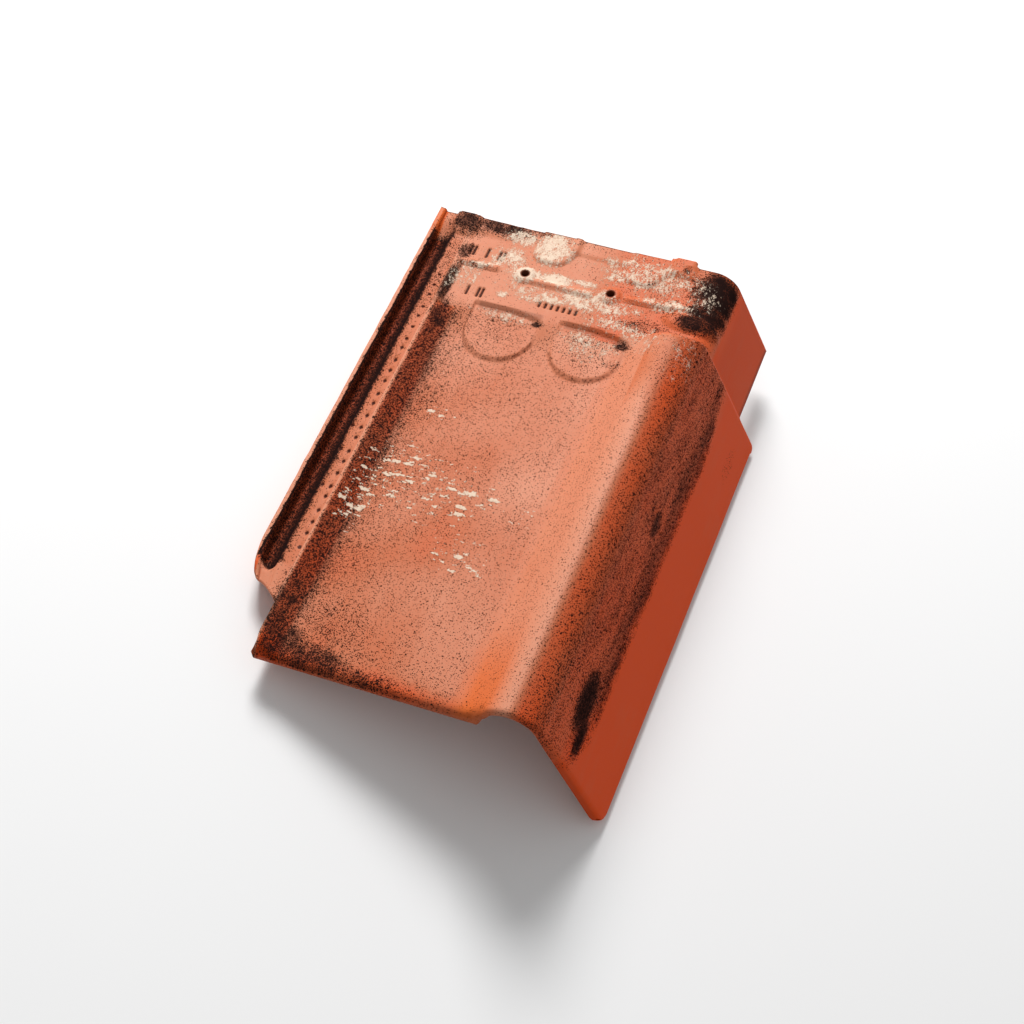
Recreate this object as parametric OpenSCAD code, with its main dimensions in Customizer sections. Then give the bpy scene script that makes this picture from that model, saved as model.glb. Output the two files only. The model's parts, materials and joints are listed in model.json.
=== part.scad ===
// Clay verge tile for the right-hand edge of a pitched roof.
// The tile is drawn as laid: x runs across it from the side lock to the flap,
// y runs up the slope from foot to head, and z = 0 is the underside of the head band.
// It is then turned to the way it lies on a level floor.

/* [Tile] */
// Length from the foot to the head edge
tile_l = 370; // [330:1:440]
// Thickness of the fired clay
wall = 11; // [9:0.5:12]
// Rest the tile on a level floor instead of showing it as laid
on_floor = true; // [true, false]

/* [Pan] */
// Height of the pan floor above the underside of the head band
pan_top = 6.5; // [5:0.5:8]
// Width of the level pan floor, between its two side curves
pan_w = 110; // [90:1:150]
// Radius where the pan floor curves up to its sides
pan_r = 20; // [14:1:26]
// Angle of the slope from the rim down to the pan floor
rim_slope = 27; // [20:1:35]

/* [Roll and flap] */
// Height of the roll above the head band
roll_h = 13; // [9:0.5:16]
// Outer radius of the roll
roll_r = 21.5; // [18:0.5:26]
// Angle of the roll's inner flank
flank_slope = 40; // [30:1:46]
// Lean of the flap away from upright
flap_lean = 19.6; // [10:0.2:24]
// Drop of the flap below the underside of the head band
flap_drop = 84; // [60:1:110]
// Radius of the flap's lower corner at the foot
flap_corner_r = 12; // [4:1:20]

/* [Head] */
// Length that the next tile up the roof covers
head_lap = 63; // [50:1:90]
// Height cut off the flap along the head lap
notch_h = 26; // [15:1:40]
// Outer radius between the head band and the flap
head_r = 18; // [14:1:24]
// Distance that the flat head band runs on below the head lap
band_run = 9; // [4:1:30]
// Length of the ramp from the head band down to the pan
ramp_l = 34; // [20:1:50]
// Radius of the roll's rounded head end
dome_r = 26; // [20:1:34]
// Length of the solid clay inside the roll's head end
dome_wall = 16; // [12:1:22]

/* [Foot] */
// Length over which the foot thins to its front edge
foot_l = 12; // [8:1:20]
// Thickness of the roll and the flap at the front edge
foot_edge = 4; // [3:0.5:6]
// Rounding of the weather face into the front edge
foot_round = 1.5; // [0.5:0.5:2]
// Height of the pan's lower lip above the underside of the head band
lip_z = 0.5; // [-1:0.5:2]
// Distance from the end of the lower lip to the roll's round
lip_gap = 4; // [2:1:10]

/* [Side lock] */
// Width of the side lock, from its outer face to the rim
lock_w = 27; // [24:1:36]
// Width of the outer rib
rib_w = 4; // [3:0.5:6]
// Height of the outer rib above the head band
rib_h = 2.5; // [1:0.5:5]
// Width of the groove between the rib and the ledge
groove_w = 11.5; // [8:0.5:14]
// Depth of the groove below the top of the rib
groove_d = 9; // [5:0.5:10]
// Height of the rim above the head band
rim_h = 2; // [1:0.5:4]
// Width of the top of the rim
rim_w = 2.5; // [2:0.5:5]
// Depth of the ledge below the top of the rim
ledge_drop = 1.5; // [0.5:0.5:3]
// Distance from the foot to the start of the side lock
lock_start = 47; // [35:1:70]
// Length over which the outer rib runs in to the start of the lock
lock_taper = 33; // [20:1:50]
// Inset of the outer rib at the start of the lock
lock_inset = 7; // [4:1:10]
// Thickness of the lock's front edge
lock_edge = 3; // [2:0.5:5]
// Length of solid clay between the lock's front edge and its groove
groove_gap = 8; // [5:1:14]
// Length of the raised block that closes the groove at the head
end_block_l = 16; // [10:1:24]

/* [Nail holes] */
// Diameter of a nail hole
nail_d = 5.2; // [4:0.2:7]
// Distance between the two nail holes
nail_gap = 61; // [50:1:80]
// Distance from the head edge to the nail holes
nail_from_head = 41; // [34:1:48]
// Distance from the side lock's outer face to the first nail hole
nail_x = 78; // [70:1:90]
// Diameter of the raised ring round a nail hole
ring_d = 12; // [9:0.5:14]
// Height of the ring
ring_h = 2; // [1:0.5:3]
// Width of the water bar
bar_w = 3.5; // [2:0.5:5]
// Height of the water bar
bar_h = 1.2; // [0.6:0.2:2]

/* [Half-moon pads] */
// Radius of a half-moon pad
pad_r = 24; // [18:1:28]
// Distance from a pad's centre to its straight edge
pad_chord = 18; // [12:1:22]
// Height of a pad above the pan floor
pad_h = 1.8; // [1:0.2:2.6]

/* [Nibs and lugs] */
// Width of a nib
nib_w = 24; // [16:1:30]
// Drop of a nib below the head band
nib_h = 16; // [10:1:22]
// Thickness of a nib along the slope
nib_l = 16; // [12:1:20]
// Distance from the head edge to the back of a nib
nib_from_head = 8; // [4:1:12]
// Distance between the two nibs
nib_gap = 64; // [50:1:80]
// Distance from the side lock's outer face to the first nib
nib_x = 90; // [80:1:100]
// Height of the shallow bosses above the nibs
boss_h = 1.6; // [1:0.2:3]
// Width of the lug at the head edge
lug_w = 19; // [12:1:24]
// Length of the lug along the slope
lug_l = 12; // [8:1:16]
// Distance from the lug to where the head band bends down into the flap
lug_from_bend = 13; // [8:1:30]
// Length that the lug stands past the head edge
lug_out = 3; // [1:0.5:5]
// Height of the lug above the head band
lug_h = 4; // [2:0.5:6]

/* [Hidden] */
overlap = 1;
far = 400;
band_top = wall;
pan_bottom = pan_top - wall;
rim_top = band_top + rim_h;
rib_top = band_top + rib_h;
crest_top = band_top + roll_h;
crest_z = crest_top - roll_r;
flap_edge = -flap_drop;
notch_edge = flap_edge + notch_h;
shoulder_y = tile_l - head_lap;
band_y = shoulder_y - band_run;

// The rim's slope and the roll's flank each meet the pan floor in an arc.
pan_arc_z = pan_top + pan_r;
rim_rise = rim_top - pan_top - pan_r * (1 - cos(rim_slope));
rim_run = rim_rise / tan(rim_slope) + pan_r * sin(rim_slope);
pan_left = lock_w + rim_w + rim_run;
pan_right = pan_left + pan_w;
flank_rise = crest_z + roll_r * cos(flank_slope) - pan_top - pan_r * (1 - cos(flank_slope));
flank_run = flank_rise / tan(flank_slope) + pan_r * sin(flank_slope);
crest_x = pan_right + flank_run + roll_r * sin(flank_slope);
head_arc_z = band_top - head_r;
head_arc_x = flap_x(head_arc_z, head_r);
ledge_z = rim_top - ledge_drop;
// The clay under the roll's head end stops short of the plane that seats on the batten.
seat_step = 1.5;
lip_end = crest_x - roll_r * sin(flank_slope) - lip_gap;
groove_z = rib_top - groove_d;
pad_y = band_y - pad_chord;
nail_y = tile_l - nail_from_head;
nib_y = tile_l - nib_from_head - nib_l;

// The tile touches the floor at the lock's outer lower edge and the flap's inner lower edge.
touch_x = flap_x(flap_edge, wall);
rest_tilt = atan2(pan_bottom - flap_edge, touch_x);
rest_left = -rib_top * sin(rest_tilt);
rest_right = flap_x(flap_edge, 0) * cos(rest_tilt) - flap_edge * sin(rest_tilt);
rest_low = pan_bottom * cos(rest_tilt);

// x of the flap's face at height z, with the face moved in by depth
function flap_x(z, depth) = crest_x + (roll_r - depth) / cos(flap_lean)
    - (z - crest_z) * tan(flap_lean);

function arc(cx, cz, r, from, to, steps) =
    [for (i = [0 : steps]) let (a = from + (to - from) * i / steps) [cx + r * cos(a), cz + r * sin(a)]];

// The rim and its slope, moved in from the weather face by depth
function rim_line(depth) = concat(
    [[lock_w, rim_top - depth], [lock_w + rim_w, rim_top - depth]],
    arc(pan_left, pan_arc_z, pan_r + depth, 270 - rim_slope, 270, 6)
);

// The pan, the roll and the flap, moved in from the weather face by depth
function body_line(depth) = concat(
    arc(pan_right, pan_arc_z, pan_r + depth, 270, 270 + flank_slope, 8),
    arc(crest_x, crest_z, roll_r - depth, 90 + flank_slope, flap_lean, 20),
    [[flap_x(flap_edge, depth), flap_edge]]
);

// The whole weather face across the tile, moved in by depth
function weather_line(depth) = concat(rim_line(depth), body_line(depth));

// The whole underside, level under the rim and its slope
function under_line(base, body) = concat([for (p = rim_line(0)) [p.x, base]], body);

// The underside at the front edge: a level lip under the pan, and a thin edge on the roll and flap
function front_line() =
    [for (p = body_line(foot_edge)) [p.x, p.x < lip_end ? lip_z : p.y]];

function mixed(a, b, share) = [for (i = [0 : len(a) - 1]) a[i] * (1 - share) + b[i] * share];

function reversed(list) = [for (i = [len(list) - 1 : -1 : 0]) list[i]];

module along_y(from, to) {
    translate([0, to, 0])
        rotate([90, 0, 0])
            linear_extrude(to - from)
                children();
}

module along_x(from, to) {
    translate([from, 0, 0])
        rotate([90, 0, 90])
            linear_extrude(to - from)
                children();
}

// The corner between two straight sides that an arc of radius r leaves behind
module corner_waste(r) {
    difference() {
        square(r + overlap);
        circle(r, $fn = 96);
    }
}

// Pan, roll and flap from the foot to the shoulder
module body_section() {
    polygon(concat(weather_line(0), reversed(under_line(pan_bottom, body_line(wall)))));
}

// A solid between upper and lower lines of as many points, each pair of lines at its own y
module lofted(ys, uppers, lowers) {
    n = len(uppers[0]);
    last = len(ys) - 1;
    ring = 2 * n;
    points = [for (k = [0 : last], p = concat(uppers[k], lowers[k])) [p.x, ys[k], p.y]];
    faces = concat(
        [for (i = [0 : n - 2]) [i, i + 1, n + i + 1, n + i]],
        [for (i = [0 : n - 2]) let (o = last * ring) [o + i, o + n + i, o + n + i + 1, o + i + 1]],
        [for (k = [0 : last - 1], i = [0 : n - 2]) let (o = k * ring)
            [o + i, o + ring + i, o + ring + i + 1, o + i + 1]],
        [for (k = [0 : last - 1], i = [0 : n - 2]) let (o = k * ring + n)
            [o + i, o + i + 1, o + ring + i + 1, o + ring + i]],
        [for (k = [0 : last - 1]) let (o = k * ring) [o, o + n, o + ring + n, o + ring]],
        [for (k = [0 : last - 1]) let (o = k * ring + n - 1)
            [o, o + ring, o + ring + n, o + n]]
    );
    polyhedron(points = points, faces = faces);
}

// The foot, thinned from below to its front edge
module foot() {
    round_share = foot_round / foot_l;
    front = under_line(lip_z, front_line());
    full = under_line(pan_bottom, body_line(wall));
    lofted(
        [0, foot_round, foot_l],
        [weather_line(foot_round), weather_line(foot_round / 4), weather_line(0)],
        [front, mixed(front, full, round_share), full]
    );
}

// The solid clay inside the roll's head end
module dome_section() {
    polygon(concat(
        [[pan_right, seat_step], [pan_right, pan_top]],
        arc(pan_right, pan_arc_z, pan_r, 270, 270 + flank_slope, 8),
        arc(crest_x, crest_z, roll_r, 90 + flank_slope, flap_lean, 20),
        [[flap_x(seat_step, 0), seat_step]]
    ));
}

// The head band and the bend into the flap, over the roll's head end
module bridge_section() {
    polygon(concat(
        [[lock_w, seat_step], [lock_w, band_top]],
        arc(head_arc_x, head_arc_z, head_r, 90, flap_lean, 12),
        [[flap_x(head_arc_z, wall), head_arc_z], [flap_x(seat_step, wall), seat_step]]
    ));
}

module head_section() {
    polygon(concat(
        [[lock_w, 0], [lock_w, band_top]],
        arc(head_arc_x, head_arc_z, head_r, 90, flap_lean, 12),
        [[flap_x(notch_edge, 0), notch_edge], [flap_x(notch_edge, wall), notch_edge]],
        arc(head_arc_x, head_arc_z, head_r - wall, flap_lean, 90, 12)
    ));
}

module body() {
    difference() {
        union() {
            foot();
            along_y(foot_l, shoulder_y) body_section();
            along_y(shoulder_y - dome_wall, shoulder_y) dome_section();
        }
        along_x(pan_right, far)
            translate([shoulder_y - dome_r, crest_top - dome_r])
                corner_waste(dome_r);
        along_x(crest_x, far)
            translate([flap_corner_r, flap_edge + flap_corner_r])
                rotate(180)
                    corner_waste(flap_corner_r);
    }
}

// A pad's outline: a disc with its head side cut straight
module pad_outline() {
    intersection() {
        circle(pad_r, $fn = 96);
        translate([-pad_r, -pad_r])
            square([2 * pad_r, pad_r + pad_chord]);
    }
}

module at_pads(z) {
    for (i = [0, 1])
        translate([nail_x + i * nail_gap, pad_y, z])
            children();
}

// The ramp between the head band and the pan, with the two pads let into it
module ramp() {
    difference() {
        along_x(lock_w + rim_w, crest_x)
            polygon([
                [band_y - ramp_l, pan_top - overlap], [band_y - ramp_l, pan_top],
                [band_y, band_top], [band_y + overlap, band_top], [band_y + overlap, pan_top - overlap]
            ]);
        at_pads(pan_top + pad_h)
            linear_extrude(wall)
                pad_outline();
    }
    at_pads(pan_top - overlap)
        linear_extrude(pad_h + overlap)
            pad_outline();
}

module lock_section() {
    ledge_x = rib_w + groove_w;
    draft = 1.5;
    polygon([
        [0, pan_bottom], [0, rib_top], [rib_w, rib_top],
        [rib_w + draft, groove_z], [ledge_x - draft, groove_z], [ledge_x, ledge_z],
        [lock_w, ledge_z], [lock_w, pan_bottom]
    ]);
}

// Plan of the side lock, with its foot run in from the outer rib to the rim
module lock_plan() {
    ledge_w = lock_w - rib_w - groove_w;
    polygon(concat(
        [[0, tile_l]],
        [for (i = [0 : 4]) let (run = i / 4)
            [lock_inset * run ^ 2, lock_start + lock_taper * (1 - run)]],
        arc(lock_w - ledge_w, lock_start - ledge_w, ledge_w, 90, 0, 8),
        [[lock_w + overlap, lock_start - ledge_w], [lock_w + overlap, tile_l]]
    ));
}

// Rib, groove and ledge, with a closed head end to the groove and a thin front edge
module side_lock() {
    front_z = ledge_z - lock_edge;
    intersection() {
        difference() {
            union() {
                along_y(0, tile_l) lock_section();
                translate([0, 0, pan_bottom])
                    cube([lock_w, lock_start + groove_gap, ledge_z - pan_bottom]);
                translate([0, tile_l - end_block_l, pan_bottom])
                    cube([lock_w, end_block_l, rib_top - pan_bottom]);
            }
            along_x(-overlap, lock_w)
                polygon([
                    [-overlap, pan_bottom - overlap], [-overlap, front_z], [lock_start, front_z],
                    [lock_start + front_z - pan_bottom + overlap, pan_bottom - overlap]
                ]);
        }
        translate([0, 0, pan_bottom - overlap])
            linear_extrude(far)
                lock_plan();
    }
}

// The inner rib that carries the rim on beside the head band
module inner_rib() {
    rib_start = band_y - ramp_l;
    translate([lock_w, rib_start, pan_top])
        cube([2 * rim_w, nail_y - rib_start, rim_top - pan_top]);
}

module water_bar() {
    bar_end = lock_w + 2 * rim_w;
    translate([bar_end - overlap, nail_y - bar_w / 2, band_top - overlap])
        cube([head_arc_x - bar_end, bar_w, overlap + bar_h]);
}

module nibs() {
    for (i = [0, 1])
        translate([nib_x + i * nib_gap - nib_w / 2, nib_y, -nib_h])
            cube([nib_w, nib_l, nib_h + overlap]);
}

// Shallow bosses on the weather face, over the nibs
module nib_bosses() {
    for (i = [0, 1])
        translate([nib_x + i * nib_gap, nib_y + nib_w / 2, band_top - overlap]) {
            cylinder(h = boss_h + overlap, d = nib_w, $fn = 64);
            translate([-nib_w / 2, 0, 0])
                cube([nib_w, tile_l - nib_y - nib_w / 2, boss_h + overlap]);
        }
}

module head_lug() {
    translate([head_arc_x - lug_from_bend - lug_w, tile_l + lug_out - lug_l, 0])
        cube([lug_w, lug_l, band_top + lug_h]);
}

module nail_rings() {
    for (i = [0, 1])
        translate([nail_x + i * nail_gap, nail_y, band_top - overlap])
            cylinder(h = ring_h + overlap, d = ring_d, $fn = 64);
}

module nail_holes() {
    for (i = [0, 1])
        translate([nail_x + i * nail_gap, nail_y, -far / 2])
            cylinder(h = far, d = nail_d, $fn = 64);
}

module laid_tile() {
    difference() {
        union() {
            body();
            along_y(band_y, shoulder_y) bridge_section();
            along_y(shoulder_y, tile_l) head_section();
            ramp();
            side_lock();
            inner_rib();
            water_bar();
            nibs();
            nib_bosses();
            head_lug();
            nail_rings();
        }
        nail_holes();
    }
}

module tile() {
    color("#D9805E")
        if (on_floor)
            translate([-(rest_left + rest_right) / 2, -(tile_l + lug_out) / 2, -rest_low])
                rotate([0, -rest_tilt, 0])
                    laid_tile();
        else
            laid_tile();
}

tile();
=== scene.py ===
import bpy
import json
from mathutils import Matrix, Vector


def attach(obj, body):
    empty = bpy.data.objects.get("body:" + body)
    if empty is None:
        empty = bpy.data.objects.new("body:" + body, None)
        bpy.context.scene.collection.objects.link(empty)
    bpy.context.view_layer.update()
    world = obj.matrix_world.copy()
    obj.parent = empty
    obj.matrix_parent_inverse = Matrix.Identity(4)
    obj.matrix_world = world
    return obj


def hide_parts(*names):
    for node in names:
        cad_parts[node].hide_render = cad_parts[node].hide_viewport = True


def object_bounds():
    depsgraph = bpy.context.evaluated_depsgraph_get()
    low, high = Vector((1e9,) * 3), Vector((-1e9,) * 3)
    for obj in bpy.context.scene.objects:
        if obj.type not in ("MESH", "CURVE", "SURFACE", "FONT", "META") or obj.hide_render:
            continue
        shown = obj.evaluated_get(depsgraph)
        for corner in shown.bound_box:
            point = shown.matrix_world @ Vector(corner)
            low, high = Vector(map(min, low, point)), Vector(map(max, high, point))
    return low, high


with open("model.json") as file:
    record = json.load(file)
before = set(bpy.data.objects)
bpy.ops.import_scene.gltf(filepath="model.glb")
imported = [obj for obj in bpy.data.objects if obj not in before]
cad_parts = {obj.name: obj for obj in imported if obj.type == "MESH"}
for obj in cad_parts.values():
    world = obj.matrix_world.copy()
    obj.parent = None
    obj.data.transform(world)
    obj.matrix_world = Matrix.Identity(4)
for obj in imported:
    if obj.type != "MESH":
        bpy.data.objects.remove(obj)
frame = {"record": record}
cadBox = [list(corner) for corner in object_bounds()]

import json
import math

import bpy
import numpy as np
from mathutils import Matrix, Vector

print("frame loaded, CAD box", cadBox)


def ease(t):
    # 3 t^2 - 2 t^3, with t held between 0 and 1
    t = np.clip(t, 0, 1)
    return t * t * (3 - 2 * t)


def within(v, low, high, soft):
    # 1 between low and high, easing down to 0 over soft beyond each end
    return ease((v - low) / soft + 1) * ease((high - v) / soft + 1)


def higher(a, b, blend):
    # the larger of a and b with the crease between them rounded: half of a + b + sqrt((a - b)^2 + blend^2)
    return 0.5 * (a + b + np.sqrt((a - b) ** 2 + blend**2))


def ripple(p, q, size, seed):
    # a smooth uneven field near -1..1: plane waves about size long, at seeded angles and phases, added up
    waveCount = 9
    pick = np.random.default_rng(seed)
    turn, phase = pick.uniform(0, 2 * math.pi, (2, waveCount))
    stretch = pick.uniform(0.6, 1.7, waveCount) * 2 * math.pi / size
    waves = [
        np.sin(s * (p * math.cos(a) + q * math.sin(a)) + f)
        for a, f, s in zip(turn, phase, stretch)
    ]
    return sum(waves) / (waveCount / 2)


def readTable(v, table):
    # straight lines between the table's pairs of place and amount, level beyond its ends
    places, amounts = np.array(table, float).T
    return np.interp(v, places, amounts)


def fillLines(marks, limits, beyond):
    # every mark gets a line, and each gap between marks is cut evenly
    # no part is wider than the cell of the first limit that its middle lies under, or the one beyond them all
    marks = np.unique(np.round(marks, 3))
    runs = []
    for a, b in zip(marks[:-1], marks[1:]):
        widest = next((cell for end, cell in limits if (a + b) / 2 < end), beyond)
        runs.append(np.linspace(a, b, math.ceil((b - a) / widest - 1e-6), endpoint=False))
    return np.append(np.concatenate(runs), marks[-1])


# Millimetres, as laid on the roof: x across from side lock to flap, y up the slope, z square to the slope
tile = {
    "length": 370.0,
    "wall": 11.0,
    "panTop": 6.5,
    "panWidth": 110.0,
    "panRadius": 20.0,
    "rimSlope": 27.0,
    "rollHeight": 13.0,
    "rollRadius": 21.5,
    "flankSlope": 40.0,
    "flapLean": 19.6,
    "flapDrop": 84.0,
    "flapCorner": 12.0,
    "headLap": 63.0,
    "notch": 26.0,
    "headRadius": 18.0,
    "bandRun": 9.0,
    "rampLength": 38.0,
    "rampFlat": 3.0,  # level at the ramp's foot
    "rampCurve": 1.5,
    "rimStop": 12.0,  # the rim starts to fade out this far below the band
    "flapStep": 0.8,  # the head flap lies this much further in
    "thumbRound": 11.0,  # rounding of the roll's head end
    "thumbNarrow": 0.8,  # and the share of it that the far side of the roll loses
    "thumbSwing": 7.0,  # the roll ends this much earlier at the flank's foot
    "footLength": 12.0,
    "footEdge": 4.0,
    "lipZ": 0.5,
    "lipGap": 4.0,
    "lockWidth": 27.0,
    "ribWidth": 4.0,
    "ribHeight": 2.5,
    "grooveWidth": 11.5,
    "grooveDepth": 9.0,
    "grooveDraft": 1.5,
    "rimHeight": 2.0,
    "rimWidth": 2.5,
    "rimBlend": 0.8,
    "ledgeDrop": 1.5,
    "lockStart": 47.0,
    "lockTaper": 33.0,
    "lockInset": 7.0,
    "lockEdge": 3.0,
    "lockDroop": 11.5,  # how far the lock's foot edge falls towards the rim
    "droopCurve": 1.35,
    "nailDiameter": 5.2,
    "nailX": 78.0,
    "nailGap": 61.0,
    "nailFromHead": 41.0,
    "nibX": 90.0,
    "nibGap": 64.0,
    "nibWidth": 24.0,
    "nibDrop": 16.0,
    "nibLength": 16.0,
    "nibSoft": (1.4, 0.9),  # how far its sides, and its ends, spread to their foot
    "nibFromHead": 8.0,
    "lugWidth": 19.0,
    "lugFromBend": 13.0,
    "lugOut": 3.0,
    "lugRound": 2.6,
    "lockFootRound": 6.0,
    "notchRound": 5.0,
    "headFlapRound": 3.5,
    "seatStep": 1.5,
}

length, wall = tile["length"], tile["wall"]
bandTop = wall
panTop = tile["panTop"]
panBottom = panTop - wall
rimTop = bandTop + tile["rimHeight"]
ribTop = bandTop + tile["ribHeight"]
ledgeTop = rimTop - tile["ledgeDrop"]
grooveBottom = ribTop - tile["grooveDepth"]
lockWidth = tile["lockWidth"]
shoulderY = length - tile["headLap"]
bandY = shoulderY - tile["bandRun"]
nailY = length - tile["nailFromHead"]
flapEdge = -tile["flapDrop"]
notchEdge = flapEdge + tile["notch"]
lean = math.radians(tile["flapLean"])
slope = math.radians(tile["flankSlope"])
rimAngle = math.radians(tile["rimSlope"])
rollRadius, panRadius, headRadius = tile["rollRadius"], tile["panRadius"], tile["headRadius"]
crestTop = bandTop + tile["rollHeight"]
crestZ = crestTop - rollRadius
rimRise = rimTop - panTop - panRadius * (1 - math.cos(rimAngle))
panLeft = lockWidth + tile["rimWidth"] + rimRise / math.tan(rimAngle) + panRadius * math.sin(rimAngle)
panRight = panLeft + tile["panWidth"]
flankRise = crestZ + rollRadius * math.cos(slope) - panTop - panRadius * (1 - math.cos(slope))
crestX = panRight + flankRise / math.tan(slope) + (panRadius + rollRadius) * math.sin(slope)
headArcZ = bandTop - headRadius


def flapX(z, depth):
    # the flap's plane, moved in by depth: x falls as z rises, by the tangent of the lean
    return crestX + (rollRadius - depth) / math.cos(lean) - (z - crestZ) * math.tan(lean)


headArcX = flapX(headArcZ, headRadius)
lugX = headArcX - tile["lugFromBend"] - tile["lugWidth"]


def roundedPath(corners, step):
    # straight runs joined by arcs: each corner is cut back by radius times the tangent of half its turn
    corners = np.array(corners, float)
    at, radius = corners[:, :2], corners[:, 2]
    way = np.diff(at, axis=0)
    way /= np.linalg.norm(way, axis=1)[:, None]
    points = [at[:1]]
    for i in range(1, len(at) - 1):
        turn = math.atan2(np.cross(way[i - 1], way[i]), way[i - 1] @ way[i])
        back = radius[i] * math.tan(abs(turn) / 2)
        side = np.array([-way[i - 1][1], way[i - 1][0]]) * math.copysign(1, turn)
        middle = at[i] - way[i - 1] * back + side * radius[i]
        a = np.linspace(0, turn, 9)[:, None]
        arm = -side * radius[i]
        cross = np.array([-arm[1], arm[0]])
        points.append(middle + arm * np.cos(a) + cross * np.sin(a))
    points.append(at[-1:])
    points = np.concatenate(points)
    run = np.append(0, np.cumsum(np.linalg.norm(np.diff(points, axis=0), axis=1)))
    stations = np.linspace(0, run[-1], math.ceil(run[-1] / step) + 1)
    return np.interp(stations, run, points[:, 0]), np.interp(stations, run, points[:, 1]), stations


grooveStart = tile["ribWidth"]
grooveEnd = grooveStart + tile["grooveWidth"]
draft = tile["grooveDraft"]
lockX, lockZ, lockRun = roundedPath(
    [
        (0, ribTop, 0),
        (grooveStart, ribTop, 1.5),
        (grooveStart + draft, grooveBottom, 2.0),
        (grooveEnd - draft, grooveBottom, 2.0),
        (grooveEnd, ledgeTop, 1.0),
        (lockWidth, ledgeTop, 0),
    ],
    0.1,
)

share = np.linspace(0, 1, 121)


def panProfile(x):
    # the rim's slope and the arc that brings it level with the pan floor, under a lid at the rim's flat top
    toFloor = panLeft - x
    arc = panTop + panRadius - np.sqrt(np.maximum(panRadius**2 - np.clip(toFloor, 0, panRadius) ** 2, 0))
    straight = rimTop - (x - lockWidth - tile["rimWidth"]) * math.tan(rimAngle)
    z = np.where(toFloor > panRadius * math.sin(rimAngle), straight, arc)
    lid = rimTop + tile["rimBlend"]
    return lid - higher(lid - z, tile["rimBlend"], 0.9)


def flankCurve(t, depth):
    # out of the pan floor on an arc of radius + depth, then straight up the flank to the roll's round
    r = panRadius + depth
    arcRun = r * slope
    straightRun = flankRise / math.sin(slope)
    s = t * (arcRun + straightRun)
    a = np.minimum(s, arcRun) / r
    more = np.maximum(s - arcRun, 0)
    x = panRight + r * np.sin(a) + more * math.cos(slope)
    z = panTop + panRadius - r * np.cos(a) + more * math.sin(slope)
    return x, z


def crestCurve(t, depth):
    # the roll's round, turning from square to the flank to square to the flap
    a = math.pi / 2 + slope + (lean - math.pi / 2 - slope) * t
    return crestX + (rollRadius - depth) * np.cos(a), crestZ + (rollRadius - depth) * np.sin(a)


def headCurve(t, depth):
    # the level head band from the end of the flank, then the bend down into the flap
    start = float(flankCurve(1.0, 0)[0])
    flat = headArcX - start
    r = headRadius - depth
    s = t * (flat + r * (math.pi / 2 - lean))
    a = math.pi / 2 - np.maximum(s - flat, 0) / r
    x = np.where(s < flat, start + s, headArcX + r * np.cos(a))
    z = np.where(s < flat, headArcZ + r, headArcZ + r * np.sin(a))
    return x, z


def line(start, end):
    # evenly from start to end: start plus the share of the way times the difference
    return start + (end - start) * share


# Zone by zone across the tile: lock, pan, flank, crest, flap down to the notch, and skirt below it
zoneRun = [
    lockRun[-1],
    panRight - lockWidth,
    panRadius * slope + flankRise / math.sin(slope),
    rollRadius * (math.pi / 2 + slope - lean),
    (crestZ + rollRadius * math.sin(lean) - notchEdge) / math.cos(lean),
    (notchEdge - flapEdge) / math.cos(lean),
]
zoneStart = np.append(0, np.cumsum(zoneRun))
lockEnd, panEnd, flankEnd, crestEnd, flapEnd, girth = zoneStart[1:]
lockT = np.interp(share * lockRun[-1], lockRun, lockX)
lockTz = np.interp(share * lockRun[-1], lockRun, lockZ)
panT = line(lockWidth, panRight)
gTable = np.concatenate([zoneStart[i] + share * zoneRun[i] for i in range(6)])
gTable += np.arange(len(gTable)) * 1e-9


def section(flank, crest, flapFrom, depth, lockLevel, panLevel):
    # one whole section as x and z against the girth: lock, pan, flank, crest, flap and skirt end to end
    flapZ, skirtZ = line(flapFrom, notchEdge), line(notchEdge, flapEdge)
    x = [lockT, panT, flank[0], crest[0], flapX(flapZ, depth), flapX(skirtZ, depth)]
    z = [lockLevel, panLevel, flank[1], crest[1], flapZ, skirtZ]
    return np.concatenate(x), np.concatenate([np.broadcast_to(v, share.shape) for v in z])


rollEndZ = crestZ + rollRadius * math.sin(lean)
headEndZ = headArcZ + headRadius * math.sin(lean)
hollowEndZ = crestZ + (rollRadius - wall) * math.sin(lean)
headHollowZ = headArcZ + (headRadius - wall) * math.sin(lean)
flankTopX = flankCurve(share, 0)[0]
hollowFlank = flankCurve(share, wall)
seat = tile["seatStep"]
edgeDepth = tile["footEdge"]
frontFlank = flankCurve(share, edgeDepth)
frontCrest = crestCurve(share, edgeDepth)
frontEndZ = crestZ + (rollRadius - edgeDepth) * math.sin(lean)

sections = {
    "body": section(flankCurve(share, 0), crestCurve(share, 0), rollEndZ, 0, lockTz, panProfile(panT)),
    "head": section((flankTopX, bandTop), headCurve(share, 0), headEndZ, 0, lockTz, bandTop),
    "underBody": section(hollowFlank, crestCurve(share, wall), hollowEndZ, wall, panBottom, panBottom),
    "underFill": section(
        (hollowFlank[0], np.minimum(hollowFlank[1], seat)),
        (line(hollowFlank[0][-1], flapX(seat, wall)), seat),
        seat, wall, panBottom, panBottom,
    ),
    "underHead": section((flankTopX, 0.0), headCurve(share, wall), headHollowZ, wall, panBottom, 0.0),
    "front": section(frontFlank, frontCrest, frontEndZ, edgeDepth, 0, tile["lipZ"]),
}


def across(name, g):
    # the named section's x and z at girth g, by straight lines between its points
    x, z = sections[name]
    return np.interp(g, gTable, x), np.interp(g, gTable, z)


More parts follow.
